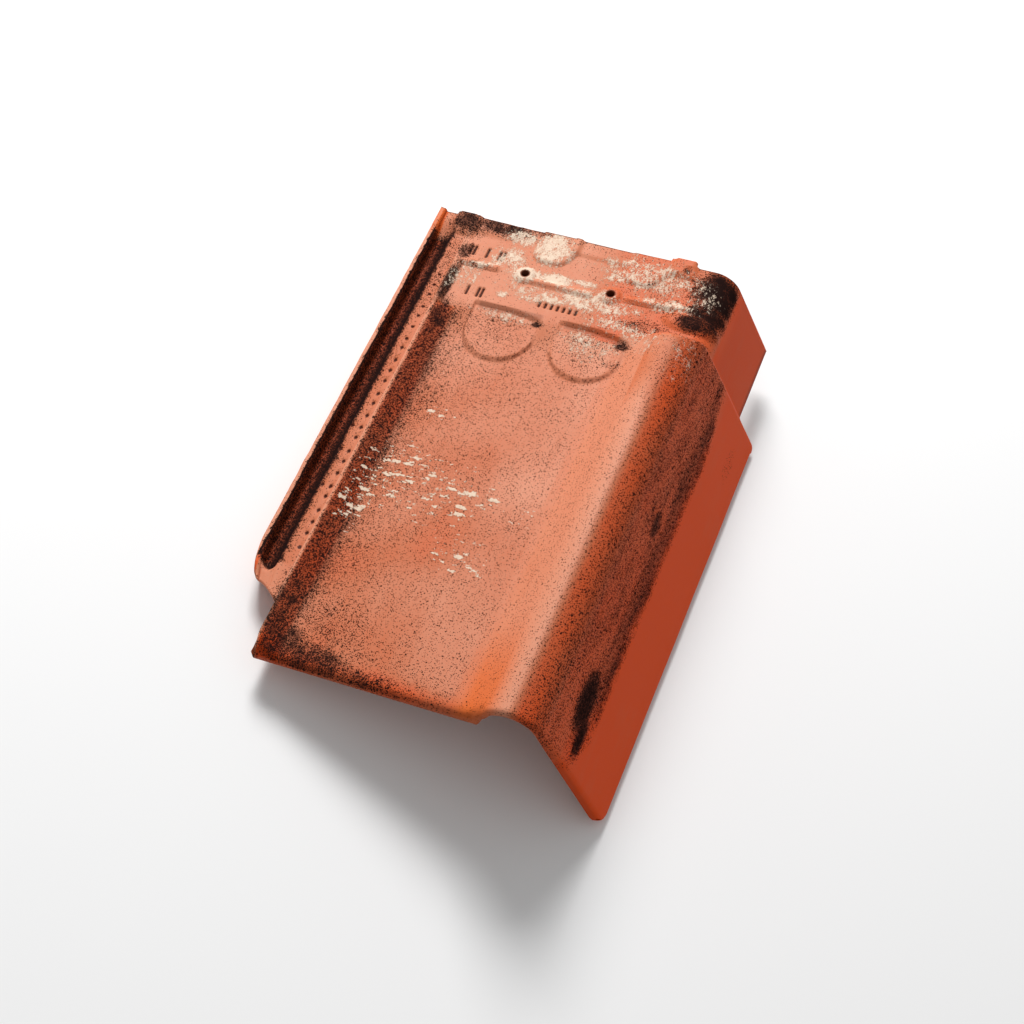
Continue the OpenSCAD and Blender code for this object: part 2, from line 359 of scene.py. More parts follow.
# Small things pressed into or standing on the weather face
relief = {
    "pitX": 23.5,
    "pitSlant": 1.5,  # the row stands this much further from the groove at the foot, and nearer at the head
    "pitFirst": 58.0,
    "pitPitch": 9.8,
    "pitCount": 27,
    "pitDepth": 1.5,
    "pitRadius": 1.15,
    "strayPits": [(19.4, 1), (18.6, 7), (18.2, 10), (17.9, 12)],
    "strokeWide": [33.8, 36.6, 46.0, 54.8, 57.6],
    "strokeRow": (336.6, 345.2),
    "secondStrokes": [45.0, 52.6, 55.4],
    "secondRow": (302.0, 310.4),
    "tallyFirst": 96.0,
    "tallyPitch": 4.3,
    "tallyCount": 7,
    "tallyRow": (305.8, 310.4),
    "strokeDepth": 1.2,
    "ringRadius": 6.3,
    "ringHeight": 2.4,
    "barHeight": 2.0,
    "bossHeight": 1.8,
    "bossLeft": 12.2,
    "bossRight": 10.4,
    "bossFlare": 5.0,  # a boss widens this much towards the head edge
    "bossFoot": 343.5,
    "bossCorner": 6.0,
    "padRadius": 24.0,
    "padStraight": 18.0,
    "padLevel": 9.0,
    "padFall": 4.5,
    "grooveHead": (9.2, 1.3),  # level of the groove's closed head end, and its rise to the edge
    "grooveFootUnder": 0.6,  # its foot end lies this much under the ledge
    "grooveFootFrom": 10.5,  # and begins this far up from the lock's foot
    "grooveFootRound": 5.0,
    "grooveMiddle": 9.7,
    "grooveHalf": 5.8,
    # a run across the tile is from x, to x, and how far it eases out
    "blockRun": (14.5, 30, 2.5),
    "blockHeight": 1.9,
    "stretchRun": (14.5, 48, 22),
    "stretchHeight": 1.3,
    "ribWear": (0.35, 0.3),  # even, and uneven
    "ribFootDrop": 1.8,
    "innerRib": (0.7, 4.0, 1.5),  # from the lock
    "innerRibHeight": 2.6,
    "innerRibFoot": 0.7,
    "barRuns": [(32, 57, 3), (83, 124, 4), (152, 196, 5)],
    "barDip": 3.6,  # the bar's middle part lies this much nearer the foot, and its far part nearer the head
    "barRise": 2.5,
    "swellMiddle": (197, 321.5),
    "swellHalf": (19, 8.5),
    "swellHeight": 2.6,
    "stripRun": (101, 141, 1.5),
    "lowStripRun": (60, 78, 2),
    "stripHeight": 0.9,
    "lowStripShare": 0.6,
    "lugHeight": 2.9,
    "lugHollow": 1.6,
    "footRound": 5.2,
    "footRoundLess": 1.8,  # less round over the roll
    "clipFall": 1.5,  # the foot falls away where the roll begins
    "clipRun": (170, 176, 3),
    "faceWaver": 0.22,  # unevenness of the weather face, and of the underside
    "underWaver": 0.25,
}

pitOrder = np.arange(relief["pitCount"])
pitRows = relief["pitFirst"] + relief["pitPitch"] * pitOrder + 0.9 * np.sin(pitOrder * 2.4)
tallyXs = relief["tallyFirst"] + relief["tallyPitch"] * np.arange(relief["tallyCount"])
wideXs = np.array(relief["strokeWide"])
secondXs = np.array(relief["secondStrokes"])
nailXs = np.array([tile["nailX"], tile["nailX"] + tile["nailGap"]])
nibXs = np.array([tile["nibX"], tile["nibX"] + tile["nibGap"]])
nailRadius = tile["nailDiameter"] / 2
ringOffsets = np.array([0, 0.5, 1, 1.5, 2.0, 2.5, 3.0]) * nailRadius
ringOffsets = np.unique(np.concatenate([-ringOffsets, ringOffsets]))


def beside(places, *offsets):
    # every place moved by every offset
    return np.concatenate([np.asarray(places) + o for o in offsets])


# The widest cells of the grid
gridCells = {
    "zones": [1.0, 2.0, 1.9, 1.8, 4.2],  # lock, pan, flank, crest, flap
    "skirt": 3.6,
    "upSlope": [(12, 2.5), (34, 4), (66, 2.2), (212, 4.6), (252, 5), (300, 1.6)],  # up to this y, this wide
    "head": 1.5,
}


def acrossLines():
    # grid lines across, as girths: at each zone's ends and each small thing's edges, then filled in between
    pitRun = float(np.interp(relief["pitX"], lockX, lockRun))
    marks = [0, 1.3, lockEnd, pitRun - 0.9, pitRun, pitRun + 0.9, panEnd, flankEnd, crestEnd, flapEnd, girth]
    panMarks = np.concatenate([
        [lockWidth + 0.6, lockWidth + 2.6, lockWidth + 4.6, lockWidth + 6],
        beside(np.concatenate([wideXs, secondXs, tallyXs]), -1.15, -0.6, 0.6, 1.15),
        (nailXs[:, None] + ringOffsets).ravel(),
    ])
    crowded = np.sort(panMarks)
    keep = np.append(True, np.diff(crowded) > 0.3)
    edgeMarks = [girth - 2.4, girth - 5, flapEnd - 2.6, flapEnd + 2.4]
    marks = np.concatenate([marks, crowded[keep] - lockWidth + lockEnd, edgeMarks])
    ends = [lockEnd, panEnd, flankEnd, crestEnd, flapEnd - 3]
    return fillLines(marks, list(zip(ends, gridCells["zones"])), gridCells["skirt"])


def alongLines():
    # grid lines up the slope, as y: at each small thing's edges, then filled in between
    marks = np.concatenate([
        [0, 0.8, 1.7, 2.8, 4.2, 6, 8.5, tile["footLength"], 34, 47, 48.2, 50],
        beside(pitRows, -0.9, 0, 0.9),
        [262, 290.4, 291, 304.6, 305.8, 306.5, shoulderY, shoulderY + 0.7],
        beside(relief["strokeRow"] + relief["secondRow"], -0.5, 0.4),
        beside(relief["tallyRow"][:1], -0.5, 0.4),
        nailY + ringOffsets,
        [345.6, 346.4, 361.6, 362.4],
        [length - 3.2, length - 1.6, length, length + 1.5, length + tile["lugOut"]],
    ])
    return fillLines(marks, gridCells["upSlope"], gridCells["head"])


gLines, yLines = acrossLines(), alongLines()
gGrid, yGrid = np.meshgrid(gLines, yLines, indexing="ij")
print("grid", gGrid.shape, "cells", (len(gLines) - 1) * (len(yLines) - 1))

# Cells that are clay: not below the lock's foot, in the notch, beyond the head edge or in the nail holes
gMid = (gLines[:-1] + gLines[1:])[:, None] / 2
yMid = (yLines[:-1] + yLines[1:])[None, :] / 2
xMid = gMid - lockEnd + lockWidth
lugGirth = [
    np.interp(lugX, flankTopX, panEnd + share * zoneRun[2]),
    np.interp(lugX + tile["lugWidth"], headCurve(share, 0)[0], flankEnd + share * zoneRun[3]),
]
clay = (gMid > lockEnd) | (yMid > tile["lockStart"])
clay &= (gMid < flapEnd) | (yMid < shoulderY)
clay &= (yMid < length) | ((gMid > lugGirth[0]) & (gMid < lugGirth[1]))
for nailX in nailXs:
    clay &= (abs(xMid - nailX) > nailRadius) | (abs(yMid - nailY) > nailRadius)


def squareToRound(p, q, reach):
    # squares about the middle become circles out to reach, and from there the bend fades out at twice reach
    m = np.maximum(abs(p), abs(q))
    n = np.hypot(p, q) + 1e-9
    k = 1 + (m / n - 1) * ease((2 * reach - m) / reach)
    return p * k, q * k


def roundCorner(p, q, radius):
    # p and q are the distances in from two edges: the square corner becomes a quarter circle
    a, b = radius - p, radius - q
    inside = (a > 0) & (b > 0)
    k = np.where(inside, np.maximum(a, b) / (np.hypot(a, b) + 1e-9), 1)
    return radius - a * k, radius - b * k


for nailX in nailXs:
    nailG = nailX - lockWidth + lockEnd
    p, q = squareToRound(gGrid - nailG, yGrid - nailY, nailRadius * 1.5)
    gGrid, yGrid = nailG + p, nailY + q
p, q = roundCorner(gGrid, yGrid - tile["lockStart"], tile["lockFootRound"])
gGrid, yGrid = np.where(gGrid < lockEnd, p, gGrid), np.where(gGrid < lockEnd, q + tile["lockStart"], yGrid)
p, q = roundCorner(girth - gGrid, yGrid, tile["flapCorner"])
gGrid, yGrid = girth - p, q
inSkirt = gGrid > flapEnd
p, q = roundCorner(girth - gGrid, shoulderY - yGrid, tile["notchRound"])
gGrid, yGrid = np.where(inSkirt, girth - p, gGrid), np.where(inSkirt, shoulderY - q, yGrid)
p, q = roundCorner(flapEnd - gGrid, length - yGrid, tile["headFlapRound"])
onHeadFlap = ~inSkirt & (yGrid > shoulderY)
gGrid, yGrid = np.where(onHeadFlap, flapEnd - p, gGrid), np.where(onHeadFlap, length - q, yGrid)
lugEnd = length + tile["lugOut"]
for lugSide, toward in ((lugGirth[0], 1), (lugGirth[1], -1)):
    p, q = roundCorner((gGrid - lugSide) * toward, lugEnd - yGrid, tile["lugRound"])
    byLug = (yGrid > length) & (abs(gGrid - lugSide) < 6)
    gGrid, yGrid = np.where(byLug, lugSide + p * toward, gGrid), np.where(byLug, lugEnd - q, yGrid)


def pitLine(y):
    # how far the row of pits stands off its middle line: the slant at the foot, minus the slant at the head
    middleY = (pitRows[0] + pitRows[-1]) / 2
    return relief["pitSlant"] * np.clip((middleY - y) / (middleY - pitRows[0]), -1, 1)


pitGirth = float(np.interp(relief["pitX"], lockX, lockRun))
nearPits = ease((gGrid - pitGirth + 5.5) / 5.2) * ease((lockEnd - gGrid) / (lockEnd - pitGirth))
gGrid = gGrid + pitLine(yGrid) * nearPits

# The lock's foot edge drops towards the rim, in a hollow curve
lockAcross = np.interp(gGrid, gTable, sections["body"][0])
droopShare = np.clip((lockAcross - 5) / (lockWidth - 5), 0, 1) ** tile["droopCurve"]
droop = tile["lockDroop"] * droopShare * ease((lockWidth + 12 - lockAcross) / 12)
yGrid = yGrid - droop * within(yGrid, 40, 49, 34)


def rampTop(y):
    # from the pan up to the head band: the rise times an eased share of the ramp, raised to its curve
    run = tile["rampLength"] - tile["rampFlat"]
    return panTop + (bandTop - panTop) * ease((y - bandY + run) / run) ** tile["rampCurve"]


def weatherFace(g, y):
    # the roll's section laid over the head's section, down at the shoulder on a quarter ellipse
    bodyX, bodyZ = across("body", g)
    headX, headZ = across("head", g)
    inLock = g <= lockEnd
    inPan = (g > lockEnd) & (g <= panEnd)
    t = np.clip((g - flankEnd) / zoneRun[3], 0, 1)  # through the crest zone
    a = np.clip((g - panEnd) / zoneRun[2], 0, 1)  # through the flank zone
    reach = tile["thumbRound"] * (1 - tile["thumbNarrow"] * ease((t - 0.45) / 0.5))
    end = shoulderY - tile["thumbSwing"] * (1 - a) ** 2
    k = np.sqrt(1 - np.clip((y - end + reach) / reach, 0, 1) ** 2)
    ground = headZ - bandTop + rampTop(y)  # the band and its ramp down to the pan
    x = headX + (bodyX - headX) * np.where(g > flankEnd, k, 1)
    low = headZ - (bandTop - panTop) * (1 - t)
    lifted = higher(low + (bodyZ - low) * k, ground, 1.5 * (1 - t) + 0.02)
    z = np.where(g > crestEnd, headZ + (bodyZ - headZ) * k, lifted)
    z = np.where(inPan, higher(np.minimum(bodyZ, bandTop + 9), ground, 1.2), z)
    # the rim stops at the head end of the ramp, where the inner rib takes over
    rimGone = ease((y - (bandY - tile["rimStop"])) / 8)
    z = np.where(inPan, z + (higher(ground, ground - 2, 0.5) - z) * rimGone, z)
    z = np.where(inLock, bodyZ, z)
    x = x - tile["flapStep"] * (1 - k) * ease((t - 0.3) / 0.5)
    return x, z


def normalAt(x, z):
    # square to the section in the x-z plane, from the change of x and z across it
    dx, dz = np.gradient(x, axis=0), np.gradient(z, axis=0)
    size = np.hypot(dx, dz) + 1e-9
    return -dz / size, dx / size


def grooveFoot(x):
    # where the groove ends at its foot: lowest at its middle, rising by the square of the way to its side
    aside = np.clip((x - relief["grooveMiddle"]) / relief["grooveHalf"], -1, 1)
    return tile["lockStart"] + relief["grooveFootFrom"] + relief["grooveFootRound"] * aside**2


def reliefHeight(g, x, y):
    # everything that stands up from or is pressed into the face, in millimetres
    h = np.zeros_like(x)
    onBand = (g > lockEnd) & (g < crestEnd)
    # groove closed at both ends, and the raised corner block beside its head end
    inLock = g <= lockEnd
    depth = np.where(inLock, np.interp(g, gTable, sections["body"][1]), 99)
    headLevel, headRise = relief["grooveHead"]
    floorLift = np.maximum(headLevel + headRise * ease((y - 345) / 20) - depth, 0)
    footLift = np.maximum(ledgeTop - relief["grooveFootUnder"] - depth, 0)
    h += np.where(inLock, floorLift * ease((y - 338) / 26), 0)
    h += np.where(inLock, footLift * ease((grooveFoot(x) + 2.5 - y) / 5), 0)
    block = within(x, *relief["blockRun"]) * ease((y - 350) / 4)
    stretch = within(x, *relief["stretchRun"]) * ease((x - 12) / 2.5) * ease((y - 354) / 6)
    h += relief["blockHeight"] * block + relief["stretchHeight"] * stretch
    # the outer rib leans in at its foot and is a little worn along its top
    rib = within(x, -1, 4.2, 1.2) * inLock
    evenWear, unevenWear = relief["ribWear"]
    h -= rib * (evenWear + unevenWear * ripple(x * 0.3, y, 17, 3)) * (y < 352)
    # lock foot: rib fades into the ledge level
    h -= rib * relief["ribFootDrop"] * ease((tile["lockStart"] + 14 - y) / 12)
    # inner rib beside the band
    near, far, soft = relief["innerRib"]
    ribLine = within(x, lockWidth + near, lockWidth + far, soft)
    h += ribLine * relief["innerRibHeight"] * within(y, bandY - 7.5, nailY - 0.5, 1.6)
    h += ribLine * relief["innerRibFoot"] * within(y, bandY - 7.5, bandY - 3.5, 1.5)
    # water bar: sharp on its foot side, easing off towards the head
    barY = nailY - 0.2 - relief["barDip"] * within(x, 84, 136, 14) + relief["barRise"] * ease((x - 160) / 36)
    bar = ease((y - barY + 2.2) / 1.2) * ease((barY + 4.2 - y) / 3.6)
    bar *= np.maximum.reduce([within(x, *run) for run in relief["barRuns"]])
    h += onBand * relief["barHeight"] * bar
    # rings round the nail holes
    for nailX in nailXs:
        away = np.hypot(x - nailX, y - nailY)
        ring = relief["ringHeight"] * ease((relief["ringRadius"] + 1.4 - away) / 2.2)
        h = np.where(away < 14, higher(h, ring, 0.2), h)
    # low swelling between the bar and the roll's head end
    (middleX, middleY), (halfX, halfY) = relief["swellMiddle"], relief["swellHalf"]
    swell = np.clip(1 - ((x - middleX) / halfX) ** 2 - ((y - middleY) / halfY) ** 2, 0, 1)
    h += (g > panEnd) * (g < crestEnd) * relief["swellHeight"] * np.sqrt(swell)
    # bosses over the nibs, joined by a step along the head edge
    corner = relief["bossCorner"]
    for nibX in nibXs:
        left = nibX - relief["bossLeft"]
        right = nibX + relief["bossRight"] + relief["bossFlare"] * ease((y - 346) / 12)
        aside = np.maximum(np.maximum(left + corner - x, x - right + corner), 0)
        down = np.maximum(relief["bossFoot"] + corner - y, 0)
        h += onBand * relief["bossHeight"] * ease((corner + 0.9 - np.hypot(aside, down)) / 1.8)
    strip = within(x, *relief["stripRun"]) * ease((y - 356.4) / 1.6)
    lowStrip = within(x, *relief["lowStripRun"]) * ease((y - 360) / 2) * relief["lowStripShare"]
    h += onBand * relief["stripHeight"] * np.maximum(strip, lowStrip)
    # lug at the head edge
    lug = within(x, lugX + 4, lugX + tile["lugWidth"] - 2.5, 3.5) * ease((y - 356) / 5)
    hollow = within(x, lugX + 13.5, lugX + 15.5, 1.4) * within(y, 361, 366, 1.5)
    h += (g > panEnd) * (g < crestEnd) * (relief["lugHeight"] * lug - relief["lugHollow"] * hollow)
    return h


def padFall(x, nailX):
    # how far a pad's straight edge falls away towards its far end: the square of the share along it
    return np.clip((x - nailX + 4) / 28, 0, 1) ** 2 * relief["padFall"]


def padShare(x, y):
    # half-moon pads, each a level floor let into the ramp and standing a little above the pan
    # 1 inside either outline: a disc below its centre, straight sides above it, cut across at the head
    padY = bandY - relief["padStraight"]
    inside = np.zeros_like(x)
    for nailX in nailXs:
        edge = relief["padRadius"] - np.hypot(abs(x - nailX), np.minimum(y - padY, 0))
        top = padY + relief["padStraight"] - padFall(x, nailX) - y
        inside = np.maximum(inside, ease(edge / 1.4 + 0.5) * ease(top / 1.4 + 0.5))
    return inside


def pressMarks(x, y):
    # plain strokes pressed into the band: 1 at full depth, eased at their edges
    marks = np.zeros_like(x)
    groups = [(wideXs, relief["strokeRow"]), (secondXs, relief["secondRow"]), (tallyXs, relief["tallyRow"])]
    for places, (low, high) in groups:
        tall = within(y, low + 0.4, high - 0.5, 0.9)
        for place in places:
            marks = np.maximum(marks, within(x, place - 0.6, place + 0.6, 0.55) * tall)
    return marks


def pits(x, y):
    # a small cone at each place, 1 at its middle, 0 at its edge and below 0 beyond
    deep = np.full_like(x, -9.0)
    places = [(relief["pitX"] + pitLine(row), row) for row in pitRows]
    places += [(strayX, pitRows[i]) for strayX, i in relief["strayPits"]]
    for px, py in places:
        deep = np.maximum(deep, 1 - np.hypot(x - px, (y - py) * 1.1) / relief["pitRadius"])
    return deep


def footRounding(g, y):
    # how far the weather face falls away at the foot: r - sqrt(r^2 - (r - y)^2)
    r = relief["footRound"] - relief["footRoundLess"] * within(g, flankEnd - 6, crestEnd, 8)
    into = np.clip(r - y, 0, r * 0.93)
    return r - np.sqrt(r**2 - into**2)


g, y = gGrid, yGrid
topX, topZ = weatherFace(g, y)
pad = padShare(topX, y) * (g > lockEnd) * (g < flankEnd)
topZ = topZ + (relief["padLevel"] - topZ) * pad
lift = reliefHeight(g, topX, y)
marks = pressMarks(topX, y) * (g > lockEnd)
pit = np.maximum(pits(topX, y), 0) * (g <= lockEnd + 0.5)
waver = relief["faceWaver"] * ripple(topX, y, 90, 11) * ease((g - lockEnd) / 20)
squareX, squareZ = normalAt(topX, topZ)
lowered = footRounding(g, y)
clipped = within(topX, *relief["clipRun"]) * ease((5.5 - y) / 4) * (g < flankEnd + 8)
lowered = lowered + relief["clipFall"] * clipped
# the rim's corner at the foot is cut down to the front edge
facet = np.maximum(0, 7.5 - y * 0.55 - (topX - lockWidth) * 0.75) * (g > lockEnd - 0.1) * (topX < 45)
up = lift + waver - marks * relief["strokeDepth"] - pit * relief["pitDepth"] - lowered
level = (g > lockEnd) & (g < flankEnd)
topX = topX + np.where(level, 0, squareX) * np.where(g <= lockEnd, 0, up)
topZ = topZ + np.where(level | (g <= lockEnd), 1, squareZ) * up - facet
# the outer rib runs in to the foot of the lock
run = np.clip((tile["lockStart"] + tile["lockTaper"] - y) / tile["lockTaper"], 0, 1)
runIn = tile["lockInset"] * run**2 * np.clip(1 - topX / lockWidth, 0, 1)
topX = topX + np.where(g <= lockEnd, runIn, 0)


def underFace(g, y):
    # the hollow's section, the filled one at its closed end, then the head's, each eased into the next
    bodyX, bodyZ = across("underBody", g)
    fillX, fillZ = across("underFill", g)
    headX, headZ = across("underHead", g)
    frontX, frontZ = across("front", g)
    fill = ease((y - 290.4) / 0.6)
    head = ease((y - shoulderY) / 0.7)
    x = bodyX + (fillX - bodyX) * fill
    z = bodyZ + (fillZ - bodyZ) * fill
    x = x + (headX - x) * head
    z = z + (headZ - z) * head
    # the foot thins from below, and its lip stays level until the roll's round begins
    lipEnd = crestX - rollRadius * math.sin(slope) - tile["lipGap"]
    lip = ease((lipEnd + 2 - frontX) / 5) * (g > lockEnd)
    frontZ = np.where(g < crestEnd, frontZ + (tile["lipZ"] - frontZ) * lip, frontZ)
    thin = np.clip(1 - y / tile["footLength"], 0, 1) * (g > lockEnd)
    x = x + (frontX - x) * thin
    z = z + (frontZ - z) * thin
    return x, z


underX, underZ = underFace(g, y)
lockFloor = ledgeTop - tile["lockEdge"]
inLock = g <= lockEnd
underX = np.where(inLock, topX, underX)
lockThin = lockFloor - np.maximum(y - tile["lockStart"] + droop, 0)  # the lock's edge thickens at 45 degrees
underZ = np.where(inLock, np.maximum(panBottom, lockThin), underZ)
step = ease((underX - lockWidth - 0.2) / 1.0)
besideLock = (g > lockEnd) & (y > shoulderY) & (underX < 60)
underZ = np.where(besideLock, panBottom + (underZ - panBottom) * step, underZ)
nib = np.zeros_like(underX)
nibEnd = length - tile["nibFromHead"]
sideSoft, endSoft = tile["nibSoft"]
nibLong = within(y, nibEnd - tile["nibLength"], nibEnd, endSoft)
half = tile["nibWidth"] / 2
for nibX in nibXs:
    nib = np.maximum(nib, within(underX, nibX - half, nibX + half, sideSoft) * nibLong)
underZ = underZ - tile["nibDrop"] * nib * (g < crestEnd)
underPan = (g > lockEnd) & (g < flankEnd) & (y < 280) & (y > 20)
underZ = underZ + relief["underWaver"] * ripple(underX + 40, y, 70, 23) * underPan
# never thinner than the front edge of the rim's cut corner
underZ = np.where((g > lockEnd) & (g < flankEnd), np.minimum(underZ, topZ - 2.2), underZ)


def closedShell(top, under, clay, edgeRound):
    # both faces share the cells, and a wall with a quarter round at each side closes every open edge
    rows, columns = clay.shape
    index = np.arange((rows + 1) * (columns + 1)).reshape(rows + 1, columns + 1)
    quads = np.stack([index[:-1, :-1], index[1:, :-1], index[1:, 1:], index[:-1, 1:]], -1)[clay]
    used = np.unique(quads)
    compact = np.full(index.size, -1)
    compact[used] = np.arange(len(used))
    quads = compact[quads]
    top, under, edgeRound = top.reshape(-1, 3)[used], under.reshape(-1, 3)[used], edgeRound.ravel()[used]
    edges = np.concatenate([quads[:, [i, (i + 1) % 4]] for i in range(4)])
    owner = np.tile(np.arange(len(quads)), 4)
    key = np.sort(edges, 1)
    _, first, count = np.unique(key[:, 0] * len(used) + key[:, 1], return_index=True, return_counts=True)
    rim, rimOwner = edges[first[count == 1]], owner[first[count == 1]]

    def outward(face):
        # away from the clay, in the face: from the cell's middle to the edge's middle, square to the edge
        along = face[rim[:, 1]] - face[rim[:, 0]]
        along /= np.linalg.norm(along, axis=1)[:, None] + 1e-12
        away = face[rim].mean(1) - face[quads[rimOwner]].mean(1)
        away -= along * (away * along).sum(1)[:, None]
        away /= np.linalg.norm(away, axis=1)[:, None] + 1e-12
        total = np.zeros_like(face)
        np.add.at(total, rim[:, 0], away)
        np.add.at(total, rim[:, 1], away)
        return total / (np.linalg.norm(total, axis=1)[:, None] + 1e-12)

    edgePoints = np.unique(rim)
    slot = np.full(len(used), -1)
    slot[edgePoints] = np.arange(len(edgePoints))
    outTop, outUnder = outward(top)[edgePoints], outward(under)[edgePoints]
    down = under[edgePoints] - top[edgePoints]
    thick = np.linalg.norm(down, axis=1)[:, None]
    down = down / thick
    r = np.minimum(edgeRound[edgePoints][:, None], 0.42 * thick)
    rings, topEdge, underEdge = [], top[edgePoints].copy(), under[edgePoints].copy()
    for a in (math.radians(45), math.radians(90)):
        rings.append(topEdge - outTop * r * (1 - math.sin(a)) + down * r * (1 - math.cos(a)))
    for a in (math.radians(90), math.radians(45)):
        rings.append(underEdge - outUnder * r * (1 - math.sin(a)) - down * r * (1 - math.cos(a)))
    top[edgePoints] -= outTop * r
    under[edgePoints] -= outUnder * r
    n, m = len(used), len(edgePoints)
    points = np.concatenate([top, under] + rings)
    walls = []
    levels = [lambda e: e] + [lambda e, k=k: 2 * n + k * m + slot[e] for k in range(4)] + [lambda e: n + e]
    for upper, lower in zip(levels[:-1], levels[1:]):
        walls.append(np.stack([upper(rim[:, 1]), upper(rim[:, 0]), lower(rim[:, 0]), lower(rim[:, 1])], -1))
    faces = np.concatenate([quads, quads[:, ::-1] + n] + walls)
    source = np.concatenate([used, used] + [used[edgePoints]] * 4)
    side = np.concatenate([np.zeros(n), np.ones(n)] + [np.full(m, s) for s in (0.35, 0.5, 0.6, 0.85)])
    return points, faces, source, side


# How round the edges are. No rounding reaches past the first line of points in from its edge
rounding = {
    "body": 1.3,
    "flap": 1.6,
    "headFlap": 1.9,
    "lockFoot": 0.9,
    "outer": 0.6,
    "shoulder": 0.45,
    "nailHole": 0.5,
}

edgeRound = np.full(g.shape, rounding["body"])
edgeRound = np.where(g > crestEnd, rounding["flap"], edgeRound)
edgeRound = np.where((g > flapEnd - 4) & (y > shoulderY + 1), rounding["headFlap"], edgeRound)
edgeRound = np.where((g <= lockEnd) & (y < tile["lockStart"] + 1), rounding["lockFoot"], edgeRound)
edgeRound = np.where((g < 1) | (y < 1), rounding["outer"], edgeRound)
edgeRound = np.where((g > flapEnd + 1) & (abs(y - shoulderY) < 6), rounding["shoulder"], edgeRound)
for nailX in nailXs:
    edgeRound = np.where(np.hypot(topX - nailX, y - nailY) < 4, rounding["nailHole"], edgeRound)
top = np.stack([topX, y, topZ], -1)
under = np.stack([underX, y, underZ], -1)
points, faces, source, side = closedShell(top, under, clay, edgeRound)
print("points", len(points), "triangles", 2 * len(faces))


def restTurn():
    # from the laid tile to the tile at rest: the first nail hole's axis is the laid tile's z, and y stays y
    mount = next(m for m in frame["record"]["mounts"] if m["name"] == "nail_hole_lock_side")
    upward = np.array(mount["axis"], float)
    upward /= np.linalg.norm(upward)
    acrossWay = np.array([upward[2], 0, -upward[0]])
    upSlope = np.array([0.0, 1.0, 0.0])
    return np.stack([acrossWay, upSlope, upward], 1)


turn = restTurn()
tilt = math.atan2(-turn[0, 2], turn[2, 2])
corners = np.array(cadBox)
restLeft = -ribTop * math.sin(tilt)
restRight = flapX(flapEdge, 0) * math.cos(tilt) - flapEdge * math.sin(tilt)
shift = np.array([
    corners[:, 0].mean() * 1000 - (restLeft + restRight) / 2,
    corners[:, 1].mean() * 1000 - (length + tile["lugOut"]) / 2,
    corners[0, 2] * 1000 - panBottom * math.cos(tilt),
])
restPoints = (points @ turn.T + shift) / 1000


def makePiece(name, points, faces):
    # one smooth-shaded object at the origin, with its place in its mesh
    mesh = bpy.data.meshes.new(name)
    mesh.from_pydata(points.tolist(), [], faces.tolist())
    mesh.update()
    mesh.polygons.foreach_set("use_smooth", np.ones(len(mesh.polygons), bool))
    piece = bpy.data.objects.new(name, mesh)
    bpy.context.scene.collection.objects.link(piece)
    return piece


roofTile = makePiece("vergeTile", restPoints, faces)

